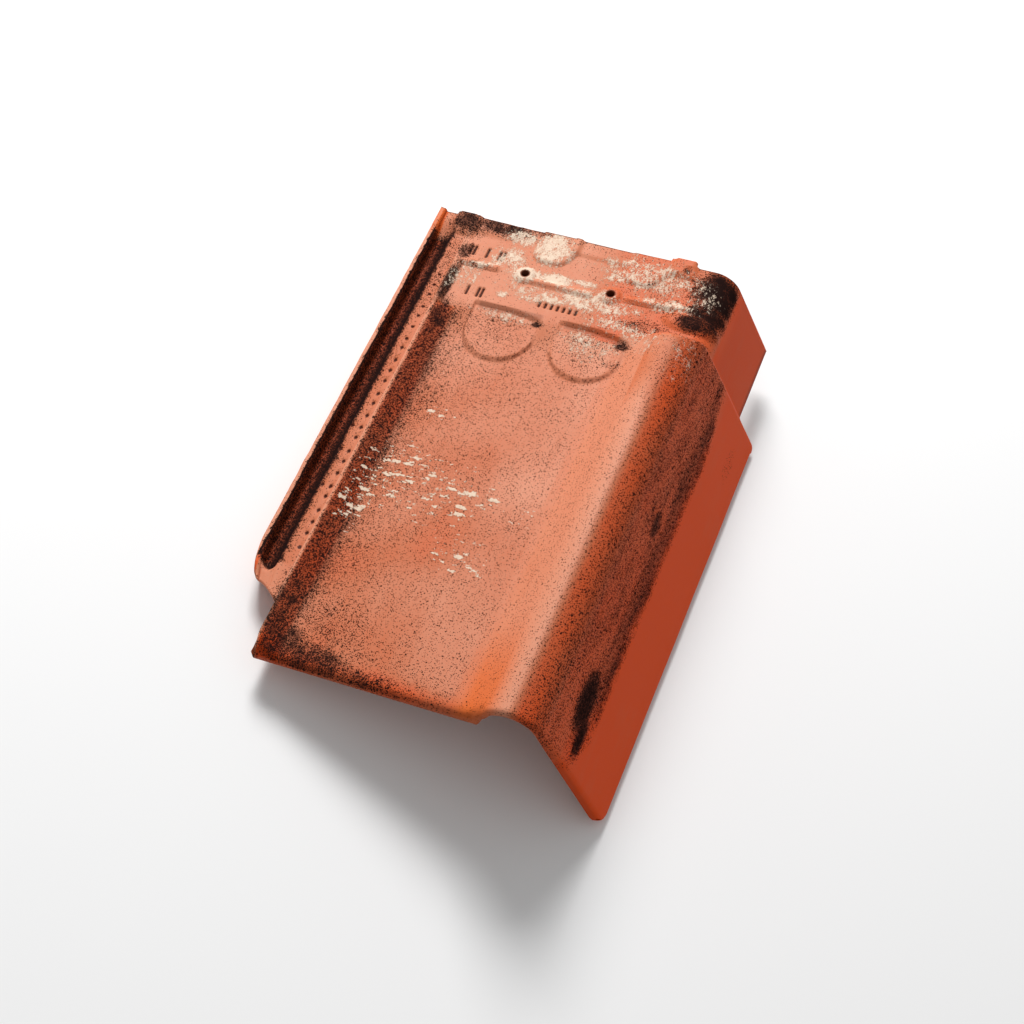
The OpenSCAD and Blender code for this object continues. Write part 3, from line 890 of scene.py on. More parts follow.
# Where soot, mortar, painted shade and painted light lie: x and y as laid, or the drop below the crest's end
# and y on the flap
# Each spot is its middle across and along, half width, half length and strength
finish = {
    "mortarSpots": [
        (78, 329, 10, 9, 1.05), (98, 331.5, 17, 6.5, 0.95), (88.5, 356, 16, 17, 0.92), (66, 360, 15, 8, 0.8),
        (48, 329.5, 11, 4.2, 0.62), (88, 316, 26, 10, 0.58), (69, 309, 5, 4, 0.95), (104, 313, 9, 4, 0.85),
        (62, 340, 18, 14, 0.66), (130, 320, 36, 13, 0.68), (120, 334, 10, 4, 0.9), (158, 352, 46, 18, 0.62),
        (178, 331, 26, 8, 0.68), (195, 344, 18, 18, 0.42), (152, 306, 28, 8, 0.56), (40, 318, 12, 14, 0.56),
        (78, 292, 25, 6, 0.5), (138, 286, 26, 16, 0.5), (168, 300, 10, 9, 0.6), (203, 288, 10, 24, 0.34),
        (55, 237, 5.5, 2.2, 1.1), (36, 322, 5, 8, 0.5), (30, 310, 3, 12, 0.45), (180, 292, 14, 9, 0.4),
    ],
    "splashSpots": [
        (60, 150, 32, 38, 0.9), (86, 142, 42, 36, 0.82), (42, 124, 15, 26, 0.95), (116, 106, 24, 20, 0.82),
        (112, 150, 36, 24, 0.68), (64, 204, 16, 7, 0.82), (130, 96, 18, 8, 0.85), (150, 142, 14, 16, 0.66),
        (37, 146, 9, 30, 0.85), (36, 106, 6, 6, 0.9), (125, 190, 12, 5, 0.7),
    ],
    "sootAndShadowSpots": [
        (206, 352, 18, 25, 1.55), (199, 321, 16, 9.5, 1.45), (24, 362, 19, 13, 1.25), (50, 365, 28, 9, 1.3),
        (74, 367, 17, 5, 0.95), (31, 338, 7, 9, 1.25), (30, 308, 5, 25, 1.35), (44, 329, 14, 4.5, 0.85),
        (35, 276, 9, 25, 1.25), (33, 34, 12, 42, 1.2), (41, 13, 19, 19, 1.22), (64, 7, 35, 15, 1.16),
        # the spots at 100, 291.5 and 160, 290.5 are painted shadow in the corner at each pad's far end
        (98, 3, 38, 11, 1.0), (60, 26, 46, 42, 0.78), (100, 291.5, 6, 3.5, 1.22), (160, 290.5, 8, 4.5, 1.3),
        (158, 274, 9, 5, 0.8), (76, 279, 27, 22, 0.62), (139, 277, 26, 20, 0.6), (212, 292, 12, 22, 0.8),
        (88, 366, 60, 4, 0.5), (58, 255, 20, 16, 0.5), (80, 288, 24, 6, 0.75), (138, 288, 24, 6, 0.8),
        (204, 333, 18, 12, 1.5), (181, 363, 4, 4, 1.1),
        (170, 309, 28, 9, 0.86), (184, 329, 24, 12, 0.76), (168, 346, 24, 14, 0.58),
    ],
    "flapBlots": [(25, 178, 7, 15, 1.35), (30, 46, 14, 31, 1.5), (38, 26, 8, 20, 1.5), (78, 271, 6, 14, 0.5)],
    "bendSpots": [(207, 352, 27, 23, 1.6), (204, 323, 15, 9.5, 1.4), (207, 334, 17, 11, 1.5)],
    "bandDrop": 51.0,  # lower border of the soot band on the flap
    "bandRise": (9, 14),  # and how much higher it is at the head, and at the foot
    "bandWaver": 0.5,
    "bandRipple": 0.13,
    "bandFade": (0.26, 0.1),  # less soot on the band near the foot: below its top, and all of it
    "ribJag": 0.25,
    "ledgeRipple": 0.2,
    "ledgeHeadSoot": 0.72,
    "lockHeadClear": 0.75,
    "panRipple": (0.07, 0.05),  # long and short
    "panFootSoot": 0.12,
    "headSoot": (0.2, 0.16, 0.05),  # on the head band: everywhere, more beyond its middle, uneven
    "headRollSoot": 0.12,
    "spotRipple": 0.14,
    # painted shade in holes, marks, creases and on edges, and some other darkening
    "markShade": 1.15,
    "padWallShade": 0.42,
    "innerRibShade": 0.5,
    "headFlapEdgeShade": 0.85,
    "headFlapDark": 0.14,
    "footEdgeShade": 0.4,
    "footCornerDark": 0.5,
    "farRollDark": 0.26,
    "padRingShadow": 2.6,
    # painted sheen and highlight with some pale film, and the warm clay with painted light in the hollow
    "panSheenFilm": 0.66,
    "panSheenFilmFar": 0.2,
    "panSheenFilmHead": 0.14,
    "panSheenFilmCorner": 0.12,
    "panSheenFilmRipple": 0.1,
    "headSheenFilm": (0.88, 0.42),  # on the head band, and how much is lost beyond its middle
    "rollHeadLoss": 0.42,
    "bendSheenFilm": (0.5, 0.2),
    "footShade": (0.34, 0.26),  # at the foot, and how much less of that over the roll
    "lockEndSheenFilm": 0.8,
    "rimSheenFilm": 1.2,
    "rimSlopeShade": 0.4,
    "mostSheenFilm": 1.3,
    "flapSheenFilm": 0.2,
    "hollowLight": 0.8,
    "hollowLeast": 0.25,
    "ribWarm": 0.6,
    # soot as pairs of place and amount: by x, by the share of the roll's round, by the drop down the flap
    # in the lock, 14.6 to 15.8 across is the groove's far wall, darkest with painted shade where the outer
    # rib shadows it
    "lockSootAndShade": [
        (0, 0.3), (2.2, 0.25), (2.7, 1.8), (3.2, 1.8), (4.0, 1.2), (8, 1.15), (11, 1.45), (14.6, 1.75),
        (15.8, 1.75), (17.0, 1.2), (18.6, 0.75), (21.5, 0.34), (27, 0.24),
    ],
    "panSoot": [
        (27, 0.5), (27.8, 0.5), (28.8, 0.95), (31, 1.25), (36, 1.42), (40, 1.2), (45, 0.92), (51, 0.72),
        (60, 0.58), (80, 0.48), (120, 0.44), (150, 0.40), (160, 0.36), (172, 0.3),
    ],
    "flankSoot": [0.3, 0.32, 0.34],  # where the pan ends, 8 beyond it, and where the roll's round begins
    "rollSoot": [(0, 0.32), (0.3, 0.34), (0.45, 0.53), (0.62, 0.69), (0.8, 0.8), (1, 0.85)],
    "bandSoot": [(0, 0.82), (12, 0.8), (22, 0.84), (26, 0.82), (30, 0.8), (34, 1.02), (60, 1.07)],
    # the painted sheen and highlight, with some pale film, in the same way
    # painted highlight left of the crest; the far side, turned away from the light, is left deep
    "rollSheenFilm": [(0, 1.16), (0.12, 1.26), (0.28, 1.32), (0.42, 0.76), (0.54, 0.32), (0.7, 0.26), (1, 0.3)],
    # painted light: the flank turned towards the light is paler
    "flankSheenFilm": [0.86, 0.98, 1.02, 1.1],  # where the pan ends, 7 and 16 beyond it, and at the roll's round
    "lockSheenFilm": [(0, 1.3), (2.7, 1.25), (3.3, 0.25), (15, 0.25), (17, 0.62), (26.4, 0.72), (27, 1.3)],
}


def spots(p, q, places):
    # the strongest of many soft ovals: strength times an eased fall, gone at 1.4 times the half sizes
    field = np.zeros_like(p)
    for a, b, halfWide, halfLong, strength in places:
        away = np.hypot((p - a) / halfWide, (q - b) / halfLong)
        field = np.maximum(field, strength * ease((1.4 - away) / 1.1))
    return field


def sootAndShadeField(x, g, y):
    # how black the kiln soot is, with painted shade on the groove's far wall and at the pads' far ends, from
    # scattered dots at 0.2 to solid at about 1.5
    drop = g - crestEnd
    t = np.clip((g - flankEnd) / zoneRun[3], 0, 1)
    inLock = g <= lockEnd
    onLedge = within(x, 17, 27, 2.5)
    jag = finish["ribJag"] * ripple(y, x * 0, 9, 13)
    lock = readTable(x + jag * (x < 6), finish["lockSootAndShade"])
    lock += finish["ledgeRipple"] * ripple(x, y, 14, 31) * onLedge * (x < 22)
    lock *= 1 - finish["lockHeadClear"] * within(x, 3, 16, 1) * ease((y - 345) / 12)
    lock = np.where(y < grooveFoot(x) + 4, lock * ease((y - grooveFoot(x) + 3) / 6) + 0.15, lock)
    lock = np.maximum(lock, finish["ledgeHeadSoot"] * onLedge * ease((y - 262) / 28))
    pan = readTable(x, finish["panSoot"])
    longRipple, shortRipple = finish["panRipple"]
    pan += longRipple * ripple(x, y, 60, 7) + shortRipple * ripple(x, y, 24, 8)
    slopeEnds = within(y, 26, 282, 12)
    pan = np.where(x < 56, np.minimum(pan, 0.5 + 0.6 * slopeEnds), pan)
    pan = pan + finish["panFootSoot"] * ease((30 - y) / 28) * (x > 60)
    least, more, wavering = finish["headSoot"]
    onHeadBand = least + more * ease((x - 118) / 30) + wavering * ripple(x, y, 22, 17)
    pan = np.where(y > bandY - 4, np.minimum(pan, onHeadBand), pan)
    roll = readTable(t, finish["rollSoot"])
    flank = np.interp(g, [panEnd, panEnd + 8, flankEnd], finish["flankSoot"])
    headRise, footRise = finish["bandRise"]
    border = finish["bandDrop"] - headRise * ease((y - 255) / 50) - footRise * ease((30 - y) / 22)
    border = border + finish["bandWaver"] * ripple(y, drop * 0, 9, 5)
    band = readTable(drop, finish["bandSoot"])
    lowFade, allFade = finish["bandFade"]
    band = np.where(y < 55, band - (lowFade * ease((drop - 12) / 10) + allFade) * ease((55 - y) / 30), band)
    band = (band + finish["bandRipple"] * ripple(drop, y * 0.12, 8, 19)) * ease((border - drop) / 3.0)
    field = np.where(inLock, lock, pan)
    field = np.where(g > panEnd, flank, field)
    field = np.where(g > flankEnd, roll, field)
    field = np.where(g > crestEnd, band, field)
    onHead = ease((y - shoulderY + 2) / 3)
    onBend = finish["headRollSoot"] * onHead * (t < 1)
    field = np.where(g > flankEnd, field * (1 - onHead) + onBend, field)
    near = np.where(g > crestEnd, 0.0, spots(x, y, finish["sootAndShadowSpots"]))
    bent = spots(g - flankEnd + 177, y, finish["bendSpots"])
    near = np.where(g > flankEnd, np.maximum(near, bent * ease((8 - drop) / 11)), near)
    near = near * (1 + finish["spotRipple"] * ripple(x, y, 11, 37))
    near = np.maximum(near, spots(drop, y, finish["flapBlots"]) * (drop > -10))
    return np.maximum(field, near)


def shadeAndDarkField(x, g, y):
    # dark red-brown: painted shade in the nail holes, press marks and creases, on walls and edges turned away
    # from the light and at the pads' edges; also darker on the head flap, at the foot's left corner and on
    # the far side of the roll
    # painted shade in the press marks
    field = finish["markShade"] * pressMarks(x, y) * (g > lockEnd)
    # painted shade in and round the nail holes
    for nailX in nailXs:
        field = np.maximum(field, ease((4.0 - np.hypot(x - nailX, y - nailY)) / 1.6))
    # painted shade on the wall under each pad's straight edge, which faces away from the light
    fromEdge = bandY - padEdge(x) - y  # along the straight edge of each pad
    byPad = np.maximum.reduce([within(x, nailX - 20, nailX + 23, 2) for nailX in nailXs])
    field = np.maximum(field, finish["padWallShade"] * byPad * within(fromEdge, -0.5, 2.6, 1.6))
    # painted shade on the inner rib's wall that is turned away from the light
    ribWall = within(x, 31.5, 33.5, 1.2) * within(y, bandY - 6, nailY - 2, 2)
    field = np.maximum(field, finish["innerRibShade"] * ribWall * (g > lockEnd))
    aboveShoulder = ease((y - shoulderY) / 3)
    # painted shade along the head flap's rounded lower edge
    headFlapEdge = ease((g - flapEnd + 4.2) / 2.2) * (g < flapEnd + 0.1) * aboveShoulder
    headFlapEdge = finish["headFlapEdgeShade"] * headFlapEdge
    headFlap = finish["headFlapDark"] * ease((g - crestEnd - 4) / 12) * aboveShoulder
    # painted shade along the foot's edge, which faces away from the light
    footEdges = finish["footEdgeShade"] * ease((3.6 - y) / 2.8) * (g > lockEnd)
    # the far side of the roll is darker below the shoulder
    t = (g - flankEnd) / zoneRun[3]
    farRollDarker = finish["farRollDark"] * within(t, 0.5, 0.85, 0.18) * ease((shoulderY + 4 - y) / 6)
    footCorner = finish["footCornerDark"] * within(x, 22, 42, 4) * ease((11 - y) / 6) * (g > lockEnd)
    # painted shadow at each pad's round edge
    inside = padShare(x, y)
    padRing = finish["padRingShadow"] * inside * (1 - inside) * ease((bandY - 6 - y) / 4)  # most halfway in
    return np.maximum.reduce([field, headFlapEdge, footEdges, footCorner, padRing, farRollDarker, headFlap])


def padEdge(x):
    # the fall of whichever pad's straight edge is at x: the lower of the two, where each stops beyond its end
    return np.minimum.reduce([padFall(x, nailX) + 99 * (x > nailX + 28) for nailX in nailXs])


def sheenFilmField(x, g, y):
    # painted sheen on the faces that look up, with some pale film: most of all on the crest, as a painted
    # highlight; painted shade at the foot and on the rim's slope
    pan = finish["panSheenFilm"] + finish["panSheenFilmFar"] * ease((x - 100) / 55)
    pan = pan + finish["panSheenFilmHead"] * ease((y - 150) / 160)
    pan = pan - finish["panSheenFilmCorner"] * ease((70 - y) / 90) * ease((90 - x) / 60)
    pan = pan + finish["panSheenFilmRipple"] * ripple(x, y, 80, 41)
    onHeadBand, lost = finish["headSheenFilm"]
    pan = np.where(y > bandY - 6, onHeadBand - lost * ease((x - 108) / 40), pan)
    t = np.clip((g - flankEnd) / zoneRun[3], 0, 1)
    roll = readTable(t, finish["rollSheenFilm"])
    roll = roll * (1 - finish["rollHeadLoss"] * ease((y - 200) / 80) * ease((0.5 - t) / 0.2))
    onHead = ease((y - bandY + 4) / 8)
    flank = np.interp(g, [panEnd, panEnd + 7, panEnd + 16, flankEnd], finish["flankSheenFilm"])
    field = np.where(g > panEnd, flank, pan)
    field = np.where(g > flankEnd, roll, field)
    onBend, bendLoss = finish["bendSheenFilm"]
    bend = onBend - bendLoss * ease((t - 0.3) / 0.5)
    field = np.where(g > panEnd, field + (bend - field) * onHead, field)
    # painted shade at the foot, which faces away from the light, with less of it over the roll
    footShade, rollSpared = finish["footShade"]
    field = field - (footShade - rollSpared * ease((g - flankEnd + 6) / 8)) * ease((15 - y) / 13)
    lock = readTable(x, finish["lockSheenFilm"])
    lockEnds = (y < tile["lockStart"] + 16) | (y > 346)
    lock = np.where(lockEnds, np.maximum(lock, finish["lockEndSheenFilm"] * (x > 5.6)), lock)
    field = np.where(g < lockEnd, lock, field)
    field = np.where((g >= lockEnd) & (x < 28.4), finish["rimSheenFilm"], field)
    # painted shade, along with the soot, on the rim's slope turned away from the light
    rimSlope = within(x, 31, 40, 4) * (g > lockEnd) * (g < panEnd) * (y < 290)
    field = field - finish["rimSlopeShade"] * rimSlope
    border = finish["bandDrop"] - 2 - 16 * ease((50 - y) / 34)
    flap = finish["flapSheenFilm"] * ease((border - g + crestEnd) / 10) * (y < shoulderY)
    return np.where(g > crestEnd, flap, np.clip(field, 0, finish["mostSheenFilm"]))


def warmAndLitField(x, g, y):
    # brighter orange: painted light in the hollow beside the roll, most at the foot, and the clean outer
    # rib's own orange at the head
    least = finish["hollowLeast"]
    hollow = within(g, panEnd + 9, flankEnd - 2, 15) * ease((300 - y) / 20)
    hollow = hollow * (least + (1 - least) * ease((80 - y) / 65))
    rib = within(x, -1, 5.4, 0.9) * (g < lockEnd) * ease((y - 340) / 12)
    return np.maximum(hollow * finish["hollowLight"], rib * finish["ribWarm"])


gPoint, xPoint, yPoint = g.ravel()[source], topX.ravel()[source], y.ravel()[source]
below = np.clip(side * 2 - 0.7, 0, 1)
openFace = 1 - below  # less inside the nail holes
for nailX in nailXs:
    openFace = openFace * ease((np.hypot(xPoint - nailX, yPoint - nailY) - 2.4) / 0.7)
fields = {
    "sootAndShade": sootAndShadeField(xPoint, gPoint, yPoint) * (1 - below),
    "mortar": spots(xPoint, yPoint, finish["mortarSpots"]) * openFace * (gPoint > lockEnd - 3) * (side < 0.4),
    "splash": spots(xPoint, yPoint, finish["splashSpots"]) * (1 - below) * (gPoint > lockEnd + 4),
    "shadeAndDark": shadeAndDarkField(xPoint, gPoint, yPoint) * (side < 0.9),
    "pit": np.maximum(pits(xPoint, yPoint) * 0.5 + 0.5, 0) * (gPoint < lockEnd + 1) * (side < 0.9),
    "below": below,
    "sheenFilm": sheenFilmField(xPoint, gPoint, yPoint),
    "warmAndLit": warmAndLitField(xPoint, gPoint, yPoint),
}


def layMap(piece):
    # a map of the clay laid flat, in metres: girth across, y up the slope
    layer = piece.data.uv_layers.new(name="layFlat")
    loops = np.zeros(len(piece.data.loops), np.int32)
    piece.data.loops.foreach_get("vertex_index", loops)
    layer.data.foreach_set("uv", (np.stack([gPoint, yPoint], 1)[loops] / 1000).astype(np.float32).ravel())


def addField(piece, name, values):
    # one number for each point, held between 0 and 2, for the finish to read
    field = piece.data.attributes.new(name, "FLOAT", "POINT")
    field.data.foreach_set("value", np.clip(values, 0, 2).astype(np.float32))


layMap(roofTile)
for name, values in fields.items():
    addField(roofTile, name, values)

clayLook = {
    "deepClay": (0.69, 0.064, 0.002, 1),
    "sheenFilmClay": (0.50, 0.145, 0.066, 1),
    "highlightClay": (0.60, 0.248, 0.150, 1),
    "warmAndLitClay": (0.62, 0.120, 0.020, 1),
    "underClay": (0.46, 0.130, 0.058, 1),
    "sootAndShadeBlack": (0.009, 0.006, 0.006, 1),
    "stainColour": (0.075, 0.017, 0.007, 1),
    "shadeAndDarkColour": (0.050, 0.009, 0.004, 1),
    "mortarColour": (0.72, 0.57, 0.44, 1),
    "oldMortar": (0.56, 0.38, 0.26, 1),
    # how much each covers what lies under it, from 0 to 1
    "grainCover": 0.35,
    "shadeAndDarkCover": 0.85,
    "stainCover": 0.86,
    "sootCover": 0.95,
    "blotCover": 0.75,
    "pitCover": 0.97,
    "mortarCover": 0.97,
    "filmCover": (-0.28, 0.34),  # thin mortar: less over soot, and over clean clay
    "thickCover": (0.3, 0.68),
    "agedCover": 0.55,
    # the flat map squeezed across and up the slope, and turned
    "drawnMap": ((1.0, 0.16, 1.0), 0.0),
    "scrapedMap": ((1.5, 0.8, 1.0), 0.55),
    "flungMap": ((0.37, 1.0, 1.0), 0.05),
    # uneven patterns: about how many to a metre, how many finer layers, how strong those are
    "streak": (160.0, 4.0, 0.6),
    "patch": (16.0, 3.0, 0.55),
    "grain": (1500.0, 3.0, 0.65),
    "wander": (900.0, 3.0, 0.7),
    "sootPatch": (110.0, 5.0, 0.75),
    "sootCluster": (420.0, 3.0, 0.7),
    "mortarPatch": (80.0, 4.0, 0.6),
    "crumb": (1000.0, 2.0, 0.6),
    "scrape": (230.0, 6.0, 0.72),
    "shake": (420.0, 3.0, 0.6),
    "aging": (300.0, 4.0, 0.7),
    # and how much of each pattern goes in
    "streakAmount": 0.45,
    "patchAmount": 0.75,
    "wanderAmount": 2.6,
    "sootPatchAmount": 0.20,
    "sootClusterAmount": 0.36,
    "mortarPatchAmount": 0.34,
    "crumbAmount": 0.40,
    "scrapeAmount": 0.60,
    "shakeReach": 0.0042,  # metres
    "splashPatches": 1.2,
    # dots and drops: how many to a metre, radius against spacing, density gained with the field, and at 0
    "coarseDots": (840.0, 0.27, 0.92, -0.12),
    "fineDots": (1450.0, 0.33, 1.05, -0.08),
    "boldDots": (560.0, 0.29, 0.6, -0.34),
    "largeDrops": (180.0, 0.31, 0.66, -0.24),
    "smallDrops": (330.0, 0.34, 0.82, -0.17),
    "tinyDrops": (640.0, 0.34, 0.55, -0.16),
    "leastDot": 0.55,  # the smallest radius against the spread of radii
    "dotSoft": 0.035,
    "pickSoft": 0.02,
    "dotGrowth": (0.45, 0.8),
    # straight lines from one field to another: gain, and value at 0
    "toneToSheenFilm": (-0.5, 0.3),
    "sheenFilmToPale": 1.6,
    "sheenFilmToHighlight": (2.6, -1.6),
    "sootToStain": 1.5,
    "mergeLimit": (-1.3, 1.62),
    "mortarLimit": (-0.30, 0.680),
    "filmLimit": -0.035,  # thin mortar reaches this much further out, thick mortar this much less far
    "thickLimit": 0.05,
    # where a pattern begins, and how softly
    "grainStart": (0.62, 0.1),
    "unevenStart": (0.3, 0.28),
    "sootStart": (0.03, 0.03),
    "solidStart": (1.42, 0.2),
    "stainStart": (2.7, 1.0),
    "pitStart": (0.42, 0.13),
    "mortarStart": (0.05, 0.05),
    "agedStart": (0.58, 0.1),
    "mergeSoft": 0.4,
    "filmSoft": 0.05,
    "mortarSoft": 0.009,
    # the surface: roughness, gloss and heights in metres
    "clayRough": 0.42,
    "sootRough": 0.70,
    "mortarRough": 0.85,
    "grainRough": 0.12,
    "gloss": 0.06,
    "grainHeight": 0.00012,
    "sootHeight": 0.00008,
    "mortarHeight": 0.0007,
    "bumpStrength": 0.8,
}


def makeClay():
    # clay with its painted sheen and highlight and some pale film, then soot with some painted shade, painted
    # shade with other darkening, and mortar: each is mixed over the last by its own field and pattern
    material = bpy.data.materials.new("firedClay")
    material.use_nodes = True
    tree = material.node_tree
    bsdf = tree.nodes["Principled BSDF"]

    def add(kind, inputs, **options):
        # one node, its inputs given as numbers or as other nodes' outputs
        made = tree.nodes.new("ShaderNode" + kind)
        for key, value in options.items():
            setattr(made, key, value)
        for name, value in inputs.items():
            if isinstance(value, bpy.types.NodeSocket):
                tree.links.new(value, made.inputs[name])
            else:
                made.inputs[name].default_value = value
        return made

    def calc(operation, a, b=0.0, c=0.0):
        # one sum of up to three numbers or outputs
        return add("Math", {0: a, 1: b, 2: c}, operation=operation).outputs[0]

    def plus(a, b):
        # a + b
        return calc("ADD", a, b)

    def times(a, b):
        # a times b
        return calc("MULTIPLY", a, b)

    def most(a, b):
        # the larger of a and b
        return calc("MAXIMUM", a, b)

    def scaled(value, gain, start):
        # gain times the value, plus start
        return calc("MULTIPLY_ADD", value, gain, start)

    def above(value, limit, soft):
        # 0 to 1 as value passes limit, over soft each way
        past = calc("SUBTRACT", value, limit)
        ends = {"Value": past, "From Min": -soft, "From Max": soft}
        return add("MapRange", ends, interpolation_type="SMOOTHSTEP").outputs["Result"]

    def mix(factor, a, b):
        # colour a at factor 0, colour b at factor 1
        return add("Mix", {0: factor, 6: a, 7: b}, data_type="RGBA").outputs[2]

    def field(name):
        # what addField laid on the points
        return add("Attribute", {}, attribute_name=name).outputs["Fac"]

    def stretched(name):
        # the flat map times the scale, turned about the face: a small scale draws a pattern out
        scale, turn = clayLook[name]
        return add("Mapping", {"Vector": flat, "Scale": scale, "Rotation": (0, 0, turn)}).outputs[0]

    def noise(where, name, output="Fac"):
        # a smooth uneven pattern of 0 to 1
        scale, detail, rough = clayLook[name]
        pattern = {"Vector": where, "Scale": scale, "Detail": detail, "Roughness": rough}
        return add("TexNoise", pattern).outputs[output]

    def eitherWay(pattern, amount):
        # a pattern of 0 to 1 as half the amount either way
        return scaled(pattern, amount, -amount / 2)

    def dots(where, name, crowd, growth):
        # a round dot in every cell whose own random value is under the density
        scale, radius, gain, start = clayLook[name]
        density = scaled(crowd, gain, start)
        cells = add("TexVoronoi", {"Vector": where, "Scale": scale}, feature="F1")
        pick = add("SeparateColor", {"Color": cells.outputs["Color"]})
        grown = times(scaled(pick.outputs[1], radius, radius * clayLook["leastDot"]), growth)
        dot = above(grown, cells.outputs["Distance"], clayLook["dotSoft"])
        return times(dot, above(density, pick.outputs[0], clayLook["pickSoft"]))

    place = add("TexCoord", {}).outputs["Object"]
    flat = add("UVMap", {}, uv_map="layFlat").outputs["UV"]
    sootAndShade, mortar, splash, shadeAndDark, under = (field(n) for n in ("sootAndShade", "mortar", "splash", "shadeAndDark", "below"))
    sheenFilm, warmAndLit, pit = field("sheenFilm"), field("warmAndLit"), field("pit")

    # clay: pale and deep patches, drawn out up the slope
    streak = noise(stretched("drawnMap"), "streak")
    patch = noise(place, "patch")
    tone = plus(times(streak, clayLook["streakAmount"]), times(patch, clayLook["patchAmount"]))
    sheenFilm = plus(sheenFilm, scaled(tone, *clayLook["toneToSheenFilm"]))
    # painted sheen on the faces that look up and a painted highlight on the crest, with some pale film, pale
    # the deep clay
    clay = mix(times(sheenFilm, clayLook["sheenFilmToPale"]), clayLook["deepClay"], clayLook["sheenFilmClay"])
    clay = mix(scaled(sheenFilm, *clayLook["sheenFilmToHighlight"]), clay, clayLook["highlightClay"])
    # painted light in the hollow beside the roll, and the clean rib's own orange
    clay = mix(warmAndLit, clay, clayLook["warmAndLitClay"])
    clay = mix(under, clay, clayLook["underClay"])
    grain = noise(place, "grain")
    grains = times(above(grain, *clayLook["grainStart"]), clayLook["grainCover"])
    clay = mix(grains, clay, clayLook["deepClay"])

    # soot, with painted shade in the groove and at the pads' far ends: black dots that crowd together, over
    # clay that it stains dark brown
    wander = noise(place, "wander")
    uneven = eitherWay(noise(place, "sootPatch"), clayLook["sootPatchAmount"])
    clusters = clayLook["sootClusterAmount"]
    uneven = scaled(noise(place, "sootCluster"), clusters, plus(uneven, -clusters / 2))
    level = plus(sootAndShade, times(uneven, above(sootAndShade, *clayLook["unevenStart"])))
    growth = scaled(level, *clayLook["dotGrowth"])
    coarse = dots(place, "coarseDots", level, growth)
    fine = dots(place, "fineDots", level, growth)
    bold = dots(place, "boldDots", level, growth)
    wandered = eitherWay(wander, clayLook["wanderAmount"])
    merged = above(wandered, scaled(level, *clayLook["mergeLimit"]), clayLook["mergeSoft"])
    solid = above(level, *clayLook["solidStart"])
    speckled = most(coarse, fine)
    blots = times(merged, clayLook["blotCover"])
    black = most(speckled, most(blots, most(bold, solid)))
    black = times(black, above(sootAndShade, *clayLook["sootStart"]))
    stain = above(scaled(sootAndShade, clayLook["sootToStain"], level), *clayLook["stainStart"])
    stain = times(stain, clayLook["stainCover"])
    # painted shade, and the other darkening, in dark red-brown
    colour = mix(times(shadeAndDark, clayLook["shadeAndDarkCover"]), clay, clayLook["shadeAndDarkColour"])
    colour = mix(stain, colour, clayLook["stainColour"])
    colour = mix(times(black, clayLook["sootCover"]), colour, clayLook["sootAndShadeBlack"])
    # painted shade in the pits, in the same dark red-brown
    inPit = times(above(pit, *clayLook["pitStart"]), clayLook["pitCover"])
    colour = mix(inPit, colour, clayLook["shadeAndDarkColour"])

    # mortar: scraped patches on the head band, drawn-out splashes on the pan
    slanted = stretched("scrapedMap")
    patches = eitherWay(noise(flat, "mortarPatch"), clayLook["mortarPatchAmount"])
    crumbs = times(noise(place, "crumb"), clayLook["crumbAmount"])
    scrape = plus(scaled(noise(slanted, "scrape"), clayLook["scrapeAmount"], crumbs), patches)
    limit = scaled(mortar, *clayLook["mortarLimit"])
    film = above(scrape, plus(limit, clayLook["filmLimit"]), clayLook["filmSoft"])
    film = times(film, scaled(black, *clayLook["filmCover"]))
    thick = above(scrape, plus(limit, clayLook["thickLimit"]), clayLook["filmSoft"])
    thick = scaled(thick, *clayLook["thickCover"])
    patchy = most(times(above(scrape, limit, clayLook["mortarSoft"]), thick), film)
    patchy = times(patchy, above(mortar, *clayLook["mortarStart"]))
    flung = stretched("flungMap")
    shake = noise(place, "shake", "Color")
    reach = (clayLook["shakeReach"],) * 3
    shaken = add("VectorMath", {0: shake, 1: reach, 2: flung}, operation="MULTIPLY_ADD").outputs[0]
    dense = plus(splash, times(patches, clayLook["splashPatches"]))
    large = dots(shaken, "largeDrops", dense, splash)
    small = dots(shaken, "smallDrops", dense, splash)
    tiny = dots(shaken, "tinyDrops", dense, splash)
    drops = most(large, most(small, tiny))
    drops = times(drops, above(splash, *clayLook["mortarStart"]))
    cream = most(patchy, drops)
    aged = times(above(noise(place, "aging"), *clayLook["agedStart"]), clayLook["agedCover"])
    laid = times(cream, clayLook["mortarCover"])
    colour = mix(laid, colour, mix(aged, clayLook["mortarColour"], clayLook["oldMortar"]))
    tree.links.new(colour, bsdf.inputs["Base Color"])

    # soot doesn't shine, and mortar is rougher and stands a little up
    gloss = scaled(black, -clayLook["gloss"], clayLook["gloss"])
    tree.links.new(gloss, bsdf.inputs["Specular IOR Level"])
    clayRough = clayLook["clayRough"]
    rough = scaled(black, clayLook["sootRough"] - clayRough, clayRough)
    rough = scaled(cream, clayLook["mortarRough"] - clayRough, rough)
    rough = scaled(grain, clayLook["grainRough"], plus(rough, -clayLook["grainRough"] / 2))
    tree.links.new(rough, bsdf.inputs["Roughness"])
    height = times(grain, clayLook["grainHeight"])
    height = scaled(black, clayLook["sootHeight"], height)
    height = scaled(times(cream, scrape), clayLook["mortarHeight"], height)
    bump = add("Bump", {"Height": height, "Strength": clayLook["bumpStrength"], "Distance": 1.0})
    tree.links.new(bump.outputs["Normal"], bsdf.inputs["Normal"])
    return material


roofTile.data.materials.append(makeClay())
print("finish done")

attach(roofTile, "root")
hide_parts("tile")

